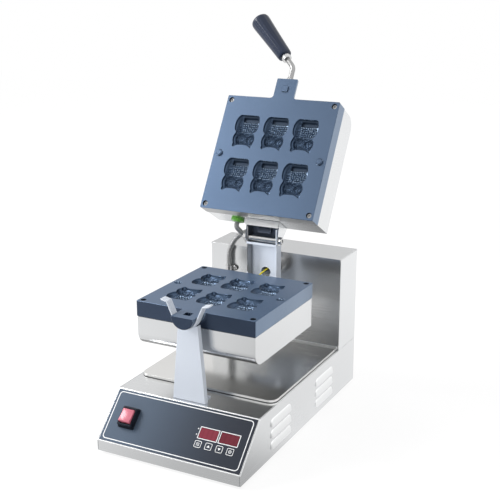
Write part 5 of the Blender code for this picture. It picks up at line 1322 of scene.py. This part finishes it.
class WAFFLE_OT_keys(bpy.types.Operator):
    """Finish the four keys with their outlines and plain marks"""

    bl_idname = "waffle.keys"
    bl_label = "Keys"

    def execute(self, context):
        size = [side - 0.0004 for side in KEY_SIZE]
        for i, name in enumerate(KEY_NAMES):
            dressed(name, "panel film", FILM_EDGE)
            x = KEY_FIRST_X + i * KEY_PITCH
            outline = printed_frame((x, KEY_UP), size, KEY_LINE, (0.0018, 0.0011), KEY_TOP)
            marks = merged([(outline, None), *((mark, at(x, KEY_UP)) for mark in self.marks(name))])
            piece(f"{name}_marks", marks, BODY_OF[name], ["white print"], PANEL)
        return {"FINISHED"}

    def marks(self, name):
        """Bars, an arrow head up or down, or a ring."""
        high = KEY_TOP + PRINT_THICKNESS
        if name == "key_mode":
            return [
                raised(rounded_rectangle(0.0054, 0.0008, 0.0003, (0.0, up)), KEY_TOP, high)
                for up in (-0.0018, 0.0, 0.0018)
            ]
        if name == "key_set":
            ring = printed_frame((0.0, 0.0), (0.0050, 0.0050), KEY_LINE, (0.0024, 0.0016), KEY_TOP)
            return [ring, raised(rounded_rectangle(0.0014, 0.0014, 0.0006), KEY_TOP, high)]
        sign = 1 if name == "key_up" else -1
        arrow = [(-0.0026, -0.0016 * sign), (0.0026, -0.0016 * sign), (0.0, 0.0022 * sign)]
        return [raised(arrow, KEY_TOP, high)]


class WAFFLE_OT_rocker_switch(bpy.types.Operator):
    """Build the rocker and its ribbed frame"""

    bl_idname = "waffle.rocker_switch"
    bl_label = "Rocker switch"

    def execute(self, context):
        place = PANEL @ at(*SWITCH_PLACE, SWITCH_SEAT)
        self.ribbed_frame(place)
        self.rocker(place)
        return {"FINISHED"}

    def ribbed_frame(self, place):
        """The frame: a flange, a stack of ribs that narrows upwards, the rocker's hole and its floor."""
        wide, high = ROCKER_HOLE
        foot = 0.0015
        levels = [(0.0285, 0.0345, -0.0003), (0.0285, 0.0345, 0.0010), (0.0278, 0.0338, foot)]
        for rib in range(SWITCH_RIBS):
            taper = rib * 0.0006
            low = foot + rib * SWITCH_RIB_PITCH
            levels += [(across - taper, along - taper, low + up) for across, along, up in SWITCH_RIB]
        top = foot + SWITCH_RIBS * SWITCH_RIB_PITCH
        levels += [(0.0238, 0.0290, top - 0.0002), (0.0232, 0.0284, top)]
        rings = [level(rounded_rectangle(w, h, 0.0022), z) for w, h, z in levels]
        inner = rounded_rectangle(wide, high, 0.0012)
        outer = rounded_rectangle(wide + 0.0024, high + 0.0024, 0.0012)
        rings += [level(inner, top), level(inner, SWITCH_BOTTOM)]
        rings += [level(outer, SWITCH_BOTTOM), level(outer, -0.0003)]
        x, y = wide / 2 + 0.0001, high / 2 + 0.0001
        floor = block((-x, -y, -0.0075), (x, y, -0.0060))
        piece(
            "switch_frame_ribbed", merged([(loft(rings, closed=True), None), (floor, None)]), "base",
            ["switch black"], place, replaces=("switch_frame",), angle=30.0,
        )

    def rocker(self, place):
        """The red rocker: a shallow saddle between two raised ends, its edges rounded."""
        wide, high = ROCKER_SIZE
        edge, bottom, steps = 0.0006, -0.0030, 24
        rings = []
        for i in range(steps + 1):
            t = i / steps * 2 - 1
            end = smooth_step(0.93, 1.0, abs(t))
            top = 0.0034 + 0.0012 * abs(t) ** 2.2 - 0.0011 * end
            half = wide / 2 - 0.0005 * end
            right = [(half, top - edge), (half - edge * 0.3, top - edge * 0.3), (half - edge, top)]
            left = [(-x, z) for x, z in reversed(right)]
            section = ((-half, bottom), (half, bottom), *right, *left)
            rings.append([Vector((x, high / 2 * t, z)) for x, z in section])
        tilt = at(0.0, 0.0, ROCKER_LIFT) @ Matrix.Rotation(-ROCKER_TILT, 4, "X")
        piece(
            "power_rocker_face", loft(rings), "rocker", ["rocker red"], place @ tilt,
            replaces=("power_rocker",), angle=50.0,
        )


class WAFFLE_OT_mould_plates(bpy.types.Operator):
    """Build the two castings with their owl cavities"""

    bl_idname = "waffle.mould_plates"
    bl_label = "Mould plates"

    def execute(self, context):
        sizes = context.scene.waffle_sizes
        mould_plate("lower_plate", "lower_mould", LOWER_FACE, "mould face", lower_fittings, sizes)
        mould_plate("upper_plate", "upper_mould", UPPER_FACE, "upper mould face with painted light", upper_fittings, sizes)
        return {"FINISHED"}


class WAFFLE_OT_plate_screws(bpy.types.Operator):
    """Build the socket screws in the plates' corners"""

    bl_idname = "waffle.plate_screws"
    bl_label = "Plate screws"

    def execute(self, context):
        for prefix, face in (("lower", LOWER_FACE), ("upper", UPPER_FACE)):
            for i, (x, y) in enumerate(screw_places()):
                name = f"{prefix}_screw_{i + 1}"
                piece(
                    f"{name}_cap", socket_screw(), f"{prefix}_mould", ["conduit steel"],
                    face @ at(x, y, -SCREW_SUNK), replaces=(name,),
                )
        return {"FINISHED"}


class WAFFLE_OT_housings(bpy.types.Operator):
    """Finish the two steel pans, the heaters and the hinge"""

    bl_idname = "waffle.housings"
    bl_label = "Housings and hinge"

    def execute(self, context):
        edge = context.scene.waffle_sizes.edge
        # The upper pan's rear wall takes the steel with painted shade, darker towards its right end.
        dressed("upper_housing", "brushed steel", edge, "steel with painted shade", self.on_rear_wall)
        # The faces between the ears take the dark steel as painted shade.
        dressed("hinge_bracket", "brushed steel", edge, "dark steel as painted shade", self.between_ears)
        # The lower pan's underside and lower bend take the darker heater-sheath steel as painted shade.
        dressed("lower_housing", "brushed steel", edge, "heater sheath", self.on_underside)
        # The column's left flange takes the darker conduit steel as painted shade.
        dressed("hinge_column", "satin steel", edge, "conduit steel", self.on_left_flange)
        for node in ("lower_heater", "upper_heater"):
            dressed(node, "heater sheath", 0.0)
        dressed("rotary_shaft", "polished steel", FINE_EDGE, "satin steel", self.in_bore)
        for node in ("hinge_nut", "front_bearing", "rear_bearing", "handle_ferrule"):
            dressed(node, "polished steel", FINE_EDGE)
        self.pin()
        self.bracket_strip()
        self.painted_shade_sheet()
        return {"FINISHED"}

    def on_rear_wall(self, polygon):
        return polygon.normal.dot((OPENED @ MACHINE).to_3x3() @ Vector((0.0, 1.0, 0.0))) > 0.9

    def on_underside(self, polygon):
        return polygon.normal.z < -0.6

    def in_bore(self, polygon):
        low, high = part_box("rotary_shaft")
        outward = polygon.center - (low + high) / 2
        outward.y = 0.0
        return polygon.normal.dot(outward) < -TINY

    def on_left_flange(self, polygon):
        return (MACHINE.inverted() @ polygon.center).x < COLUMN_FLANGE_DEPTH - COLUMN_HALF_WIDTH

    def between_ears(self, polygon):
        return abs((MACHINE.inverted() @ polygon.center).x) < COLUMN_HALF_WIDTH - COLUMN_SHEET

    def painted_shade_sheet(self):
        """A dark sheet of painted shade on the column's web behind the pin."""
        half = COLUMN_HALF_WIDTH - COLUMN_SHEET - CLEARANCE
        web = HINGE_Y + COLUMN_WEB_TO_PIN
        low = (-half, web - PAINTED_SHADE_SHEET, HINGE_Z - PAINTED_SHADE_BELOW_PIN)
        sheet = block(low, (half, web - TINY, HINGE_Z + PAINTED_SHADE_ABOVE_PIN))
        piece("hinge_painted_shade_sheet", sheet, "lower_mould", ["dark steel as painted shade"], MACHINE)

    def bracket_strip(self):
        """The strip that ties the bracket's ears together, on the side that shows when it is open."""
        half = COLUMN_HALF_WIDTH + EAR_GAP + EAR_SHEET
        wall = MOULD_REAR - SHEET
        low = (-half, wall + CLEARANCE, HINGE_Z - BRACKET_HALF_HEIGHT - BRACKET_STRIP_SHEET)
        high = (half, wall + BRACKET_STRIP_DEPTH, HINGE_Z - BRACKET_HALF_HEIGHT - TINY)
        strip = piece(
            "hinge_bracket_strip", block(low, high), "upper_mould", ["pressed steel"],
            OPENED @ MACHINE,
        )
        round_edges(strip, 0.0004)

    def pin(self):
        """The pin with its domed head and the sleeve round it."""
        place = MACHINE @ facing((1, 0, 0), (0.0, HINGE_Y, HINGE_Z))
        outside = COLUMN_HALF_WIDTH + EAR_GAP + EAR_SHEET + CLEARANCE
        shank = [(0.0, -outside - 0.0080), (0.0034, -outside - 0.0080), (0.0040, -outside - 0.0074)]
        head = (
            (0.0040, 0.0), (0.0065, 0.0), (0.0065, 0.0034), (0.0059, 0.0046), (0.0048, 0.0050),
            (0.0030, 0.0050), (0.0028, 0.0030), (0.0, 0.0030),
        )
        profile = [*shank, *((radius, outside + high) for radius, high in head)]
        half = COLUMN_HALF_WIDTH - COLUMN_SHEET - CLEARANCE
        sleeve = turned([(0.0043, -half), (0.0054, -half), (0.0054, half), (0.0043, half)], 40, closed=True)
        for node, bm in (("hinge_pin", turned(profile, 40)), ("hinge_sleeve", sleeve)):
            piece(f"{node}_turned", bm, "lower_mould", ["polished steel"], place, replaces=(node,))


class WAFFLE_OT_handle(bpy.types.Operator):
    """Build the cranked rod and the tapered grip"""

    bl_idname = "waffle.handle"
    bl_label = "Handle"

    # Radius as a share of the grip's radius, and how far along its length
    grip_shape = (
        (0.58, 0.000), (0.66, 0.004), (0.72, 0.018), (0.750, 0.060), (0.78, 0.18), (0.82, 0.34),
        (0.865, 0.50), (0.915, 0.66), (0.955, 0.78), (0.985, 0.87), (0.995, 0.92), (0.985, 0.952),
        (0.945, 0.976), (0.86, 0.991), (0.70, 0.998), (0.40, 1.000), (0.00, 1.000),
    )

    def execute(self, context):
        start = Vector((0.0, MOULD_FRONT - LUG_LENGTH - CLEARANCE, -ROD_DEPTH))
        corner = start + Vector((0.0, -ROD_STRAIGHT, 0.0))
        aim = Vector((-math.sin(ROD_CRANK_ANGLE), -math.cos(ROD_CRANK_ANGLE), 0.0))
        grip_start = corner + aim * ROD_CRANK
        path = rounded_path([start, corner, grip_start + aim * GRIP_SOCKET_DEPTH], ROD_BEND_RADIUS, 16)
        bar = loft(tube_rings(path, [ROD_RADIUS] * len(path), 32))
        collar = turned(ROD_COLLAR, 6)
        rod = merged([(bar, None), (collar, facing((0, -1, 0), start))])
        piece(
            "handle_rod_bent", rod, "upper_mould", ["heater sheath"], UPPER_FACE,
            replaces=("handle_rod",), angle=30.0,
        )
        self.grip(UPPER_FACE @ facing(aim, grip_start))
        return {"FINISHED"}

    def grip(self, place):
        """The tapered grip with shallow lengthwise flutes, its texture running along it."""
        steps = GRIP_FLUTES * 6
        socket = ROD_RADIUS + CLEARANCE
        hollow = ((0.0, GRIP_SOCKET_DEPTH), (socket, GRIP_SOCKET_DEPTH), (socket, 0.0))
        rings = [circle(radius, along, steps) for radius, along in hollow]
        for radius, along in self.grip_shape:
            ring = circle(radius * GRIP_RADIUS, along * GRIP_LENGTH, steps)
            depth = GRIP_FLUTE_DEPTH * smooth_step(0.03, 0.10, along) * (1 - smooth_step(0.90, 0.96, along))
            for i, point in enumerate(ring):
                shrink = 1 - depth / GRIP_RADIUS * (1 - math.cos(2 * math.pi * i / 6))
                point.x *= shrink
                point.y *= shrink
            rings.append(ring)
        grip = piece("handle_grip_turned", loft(rings), None, ["grip resin"], angle=40.0)
        grip.matrix_world = place
        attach(grip, "upper_mould")
        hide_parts("handle_grip")


class WAFFLE_OT_conduit(bpy.types.Operator):
    """Build the ribbed conduit, its glands and its clip"""

    bl_idname = "waffle.conduit"
    bl_label = "Conduit"

    meeting = Vector((-0.0100, 0.3470, 0.2470))
    upper_route = ((-0.0495, 0.3325, 0.2800), (-0.0435, 0.3400, 0.2670), (-0.0340, 0.3455, 0.2545))
    lower_route = (
        (0.0095, 0.3485, 0.2520), (0.0160, 0.3505, 0.2635), (0.0115, 0.3525, 0.2750),
        (-0.0010, 0.3540, 0.2803), (-0.0170, 0.3545, 0.2810), (-0.0340, 0.3552, 0.2793),
        (-0.0500, 0.3558, 0.2745), (-0.0650, 0.3564, 0.2650), (-0.0765, 0.3568, 0.2520),
        (-0.0835, 0.3570, 0.2370), (-0.0858, 0.3570, 0.2200),
    )

    def execute(self, context):
        sizes = context.scene.waffle_sizes
        straight = 2 * CONDUIT_RADIUS
        across = Vector((1.0, 0.0, 0.0))
        gland = Vector((UPPER_GLAND_X, MOULD_REAR - SHEET, PARTING_HEIGHT + PLATE_GAP + UPPER_GLAND_DEPTH))
        gland = MACHINE.inverted() @ (OPENED @ MACHINE @ gland)
        outward = (OPENED.to_3x3() @ Vector((0.0, 1.0, 0.0))).normalized()
        start = gland + outward * (GLAND_LENGTH + 2 * CLEARANCE)
        before = self.meeting - across * straight
        route = [start, start + outward * straight, *self.upper_route, before, self.meeting]
        upper = self.hose("conduit_upper", route, sizes)
        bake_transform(upper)
        end = Vector((CONDUIT_X, CONDUIT_Y, DECK_HEIGHT + 2 * CLEARANCE + DECK_GLAND_HEIGHT))
        rise = Vector((0.0, 0.0, straight))
        begin = self.meeting + across * CLEARANCE
        route = [begin, begin + across * straight, *self.lower_route, end + rise * 2, end + rise, end]
        lower = self.hose("conduit_lower", route, sizes)
        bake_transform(lower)
        self.upper_gland(gland, outward)
        dressed("conduit_deck_gland", "polished steel", FINE_EDGE)
        dressed("conduit_clip", "polished steel", THIN_EDGE)
        self.clip_screw()
        return {"FINISHED"}

    def clip_screw(self):
        """The clip's screw on its black washer."""
        centre = (CONDUIT_X + CLIP_SCREW_ACROSS, TOWER_FRONT - CLIP_SHEET, CLIP_SCREW_HEIGHT)
        place = MACHINE @ facing((0, -1, 0), centre)
        radius, top = WASHER_RADIUS, WASHER_THICKNESS
        washer = turned([(0.0, 0.0), (radius, 0.0), (radius, top), (0.0, top)], 32)
        piece("conduit_clip_washer", washer, "base", ["black plastic"], place)
        piece(
            "conduit_clip_screw", pan_head(CLIP_SCREW_RADIUS), "base", ["polished steel"],
            place @ at(0.0, 0.0, WASHER_THICKNESS + 0.0001),
        )

    def hose(self, node, route, sizes):
        """A round hose with a groove after every rib."""
        quarter = sizes.rib_pitch / 4
        points = smooth_route([MACHINE @ Vector(p) for p in route], sizes.rib_pitch)
        points = even_points(relaxed(points, 6), quarter)
        depths = [0.5 - 0.5 * math.cos(math.pi * i / 2) for i in range(len(points))]
        radii = [CONDUIT_RADIUS - sizes.rib_depth * depth for depth in depths]
        bm = loft(tube_rings(points, radii, 20))
        return piece(f"{node}_ribbed", bm, None, ["conduit steel"], replaces=(node,), angle=80.0)

    def upper_gland(self, gland, outward):
        """The green gland: a flange behind the wall, a knurled nut in front of it, and the bore."""
        steps = 60
        behind = (
            (GLAND_BORE, -0.0045), (GLAND_RADIUS, -0.0045), (GLAND_RADIUS, -0.0015), (GLAND_STEM, -0.0015),
            (GLAND_STEM, CLEARANCE),
        )
        knurled = ((0.0, CLEARANCE), (0.0, 0.0008), (0.0, 0.0034), (0.0004, 0.0038))
        front = ((0.0074, 0.0040), (0.0070, 0.0053), (0.0047, 0.0056), (GLAND_BORE, 0.0056))
        rings = [circle(radius, height, steps) for radius, height in behind]
        for reach, height in knurled:
            rings.append([
                point * (1 - (reach + 0.0004 * (i % 3 == 0)) / GLAND_RADIUS) + Vector((0.0, 0.0, height))
                for i, point in enumerate(circle(GLAND_RADIUS, 0.0, steps))
            ])
        rings += [circle(radius, height, steps) for radius, height in front]
        piece(
            "upper_gland_knurled", loft(rings, closed=True), "upper_mould", ["gland green"],
            MACHINE @ facing(outward, gland), replaces=("upper_gland",), angle=30.0,
        )


class WAFFLE_OT_earth_wire(bpy.types.Operator):
    """Build the two-coloured earth wire through the column's hole"""

    bl_idname = "waffle.earth_wire"
    bl_label = "Earth wire"

    sides = 18
    green_sides = (3, 4, 5, 12, 13, 14)
    route = (
        (0.0060, 0.4080, 0.2226), (0.0055, 0.3800, 0.2222), (0.0040, 0.3520, 0.2216),
        (0.0015, 0.3380, 0.2196), (-0.0025, 0.3290, 0.2160), (-0.0068, 0.3220, 0.2110),
        (-0.0105, 0.3150, 0.2030), (-0.0125, 0.3095, 0.1930), (-0.0130, 0.3070, 0.1850),
        (-0.0130, 0.3030, 0.1800), (-0.0130, 0.2962, 0.1800),
    )

    def execute(self, context):
        points = smooth_route([MACHINE @ Vector(p) for p in self.route], 0.0010)
        bm = loft(tube_rings(points, [WIRE_RADIUS] * len(points), self.sides))
        for i, face in enumerate(bm.faces):
            face.material_index = 1 if i % self.sides in self.green_sides else 0
        piece(
            "earth_wire_striped", bm, "lower_mould", ["wire yellow", "wire green"],
            replaces=("earth_wire",), angle=60.0,
        )
        return {"FINISHED"}


class WAFFLE_OT_electrics(bpy.types.Operator):
    """Finish the pieces inside the base"""

    bl_idname = "waffle.electrics"
    bl_label = "Electrical pieces"

    def execute(self, context):
        dressed("controller_board", "circuit board", 0.0)
        for node in ("heater_relay", "terminal_block"):
            dressed(node, "black plastic", FINE_EDGE)
        return {"FINISHED"}


class WAFFLE_OT_stage(bpy.types.Operator):
    """Set up the floor, lamps, world and camera"""

    bl_idname = "waffle.stage"
    bl_label = "Stage"

    def execute(self, context):
        stage = context.scene.waffle_stage
        self.floor()
        self.world(context, stage.room_level)
        self.lamp("key lamp", (-1.75, -0.55, 1.75), (0.0, 0.0, 0.25), 1.0, stage.key_power)
        fill = self.lamp("fill lamp", (-0.85, -0.62, 0.62), (0.0, 0.0, 0.36), 0.4, stage.fill_power)
        fill.visible_glossy = False
        self.spot("hinge spot", (-0.16, -0.85, 0.66), (0.012, HINGE_Y, 0.245), 7.5, stage.spot_power)
        self.camera(context, stage)
        context.scene.view_settings.view_transform = "Standard"
        return {"FINISHED"}

    def floor(self):
        """A pale floor that looks white to the camera but keeps the object's shadow."""
        finish = Finish("pale floor", roughness=0.9)
        place = finish.place()
        speck = finish.noise(place, 3.0)
        finish.set(base_color=finish.colour_mix((0.90, 0.90, 0.90), (0.93, 0.93, 0.93), speck))
        seen = finish.node("ShaderNodeLightPath", output="Is Camera Ray")
        mirrored = finish.node("ShaderNodeLightPath", output="Is Glossy Ray")
        ahead = (0.0 - finish.part_of(place, "Y")).ease(0.02, 0.22)
        to_right = finish.part_of(place, "X").ease(-0.35, 0.15)
        far = finish.part_of(place, "Y").ease(0.10, 0.75)
        near_level = 0.86 + far * 0.12 - ahead * to_right * 0.46
        distance = finish.length_of(place)
        away = distance.ease(0.5, 1.4)
        x, y = (finish.part_of(place, axis) / distance for axis in "XY")
        brightness = (1.0 - away) * near_level + away * self.surroundings(x, y)
        brightness = seen + (1.0 - seen) * brightness
        bright = finish.node("ShaderNodeEmission", inputs={"Color": (1.0, 1.0, 1.0), "Strength": 1.08})
        dim = finish.node("ShaderNodeEmission", inputs={"Color": (0.96, 0.98, 1.0), "Strength": 0.12})
        glow = finish.node("ShaderNodeMixShader", inputs={0: brightness, 1: dim, 2: bright})
        surface = Socket(finish, finish.shader.outputs["BSDF"])
        share = seen * 0.78 + mirrored * 0.95
        mixed = finish.node("ShaderNodeMixShader", inputs={0: share, 1: surface, 2: glow})
        finish.feed(finish.tree.nodes["Material Output"].inputs["Surface"], mixed)
        bm = bmesh.new()
        bmesh.ops.create_grid(bm, x_segments=2, y_segments=2, size=4.0)
        mesh = bpy.data.meshes.new("floor")
        bm.to_mesh(mesh)
        bm.free()
        mesh.materials.append(finish_of("pale floor"))
        floor = bpy.data.objects.new("floor", mesh)
        bpy.context.collection.objects.link(floor)

    def in_front(self, y):
        return (0.0 - y).ease(0.15, 0.80)

    def on_right(self, x):
        return x.ease(-0.56, -0.30)

    def surroundings(self, x, y, high=0.0):
        """What metal reflects in a direction: white, but dimmer in front and behind on the left."""
        back = y.ease(0.30, 0.70) * (0.0 - x).ease(-0.1, 0.3)
        in_front = self.in_front(y) * (1.0 - high) * (self.on_right(x) * 0.46 + 0.24)
        return 1.0 - back * (0.42 - high * 0.38) - in_front

    def world(self, context, level):
        """White behind the object, even light on it, and a darker room in front for metal to reflect."""
        world = bpy.data.worlds.new("studio")
        world.use_nodes = True
        graph = Graph(world.node_tree)
        seen = graph.node("ShaderNodeLightPath", output="Is Camera Ray")
        glossy = graph.node("ShaderNodeLightPath", output="Is Glossy Ray")
        direction = graph.place("Generated")
        x, y, z = (graph.part_of(direction, axis) for axis in "XYZ")
        mirrored = self.surroundings(x, y, z.ease(0.15, 0.55)) + x.ease(0.1, 0.4) * z.ease(0.15, 0.5) * 0.35
        even = (1.0 - self.in_front(y) * (self.on_right(x) * 0.14 + 0.18)) * level
        strength = seen + (1.0 - seen) * (glossy * mirrored + (1.0 - glossy) * even)
        background = world.node_tree.nodes["Background"]
        graph.feed(background.inputs["Color"], (1.0, 1.0, 1.0))
        graph.feed(background.inputs["Strength"], strength)
        context.scene.world = world

    def aimed(self, name, data, place, target):
        """An object at a place that looks at a target."""
        obj = bpy.data.objects.new(name, data)
        bpy.context.collection.objects.link(obj)
        obj.location = place
        obj.rotation_euler = (Vector(place) - Vector(target)).to_track_quat("Z", "Y").to_euler()
        return obj

    def lamp(self, name, place, target, size, power):
        light = bpy.data.lights.new(name, "AREA")
        light.shape = "SQUARE"
        light.size = size
        light.energy = power
        return self.aimed(name, light, place, target)

    def spot(self, name, place, target, angle, power):
        light = bpy.data.lights.new(name, "SPOT")
        light.spot_size = math.radians(angle)
        light.spot_blend = 0.8
        light.shadow_soft_size = 0.05
        light.energy = power
        self.aimed(name, light, MACHINE @ Vector(place), MACHINE @ Vector(target))

    def camera(self, context, stage):
        data = bpy.data.cameras.new("camera")
        data.lens = stage.lens
        data.sensor_width = 36.0
        camera = self.aimed("camera", data, MACHINE @ Vector(stage.camera), MACHINE @ Vector(stage.target))
        context.scene.camera = camera


PIECE_OPERATORS = (
    WAFFLE_OT_finishes, WAFFLE_OT_body, WAFFLE_OT_panel, WAFFLE_OT_keys, WAFFLE_OT_rocker_switch,
    WAFFLE_OT_mould_plates, WAFFLE_OT_plate_screws, WAFFLE_OT_housings, WAFFLE_OT_handle, WAFFLE_OT_conduit,
    WAFFLE_OT_earth_wire, WAFFLE_OT_electrics, WAFFLE_OT_stage,
)


class WAFFLE_PT_maker(bpy.types.Panel):
    """Lists what the waffle maker is built from"""

    bl_label = "Waffle Maker"
    bl_idname = "WAFFLE_PT_maker"
    bl_space_type = "VIEW_3D"
    bl_region_type = "UI"
    bl_category = "Waffle Maker"

    def draw(self, context):
        layout = self.layout
        scene = context.scene
        for settings in (scene.waffle_sizes, scene.waffle_colours, scene.waffle_stage):
            for name in settings.bl_rna.properties.keys():
                if name not in ("rna_type", "name"):
                    layout.prop(settings, name)
        for operator in PIECE_OPERATORS:
            layout.operator(operator.bl_idname)


CLASSES = (WaffleSizes, WaffleColours, WaffleStage, *PIECE_OPERATORS, WAFFLE_PT_maker)


def register():
    for cls in CLASSES:
        bpy.utils.register_class(cls)
    bpy.types.Scene.waffle_sizes = PointerProperty(type=WaffleSizes)
    bpy.types.Scene.waffle_colours = PointerProperty(type=WaffleColours)
    bpy.types.Scene.waffle_stage = PointerProperty(type=WaffleStage)


def unregister():
    del bpy.types.Scene.waffle_stage
    del bpy.types.Scene.waffle_colours
    del bpy.types.Scene.waffle_sizes
    for cls in reversed(CLASSES):
        bpy.utils.unregister_class(cls)


def main():
    register()
    for operator in PIECE_OPERATORS:
        group, name = operator.bl_idname.split(".")
        getattr(getattr(bpy.ops, group), name)()


if __name__ == "__main__":
    main()
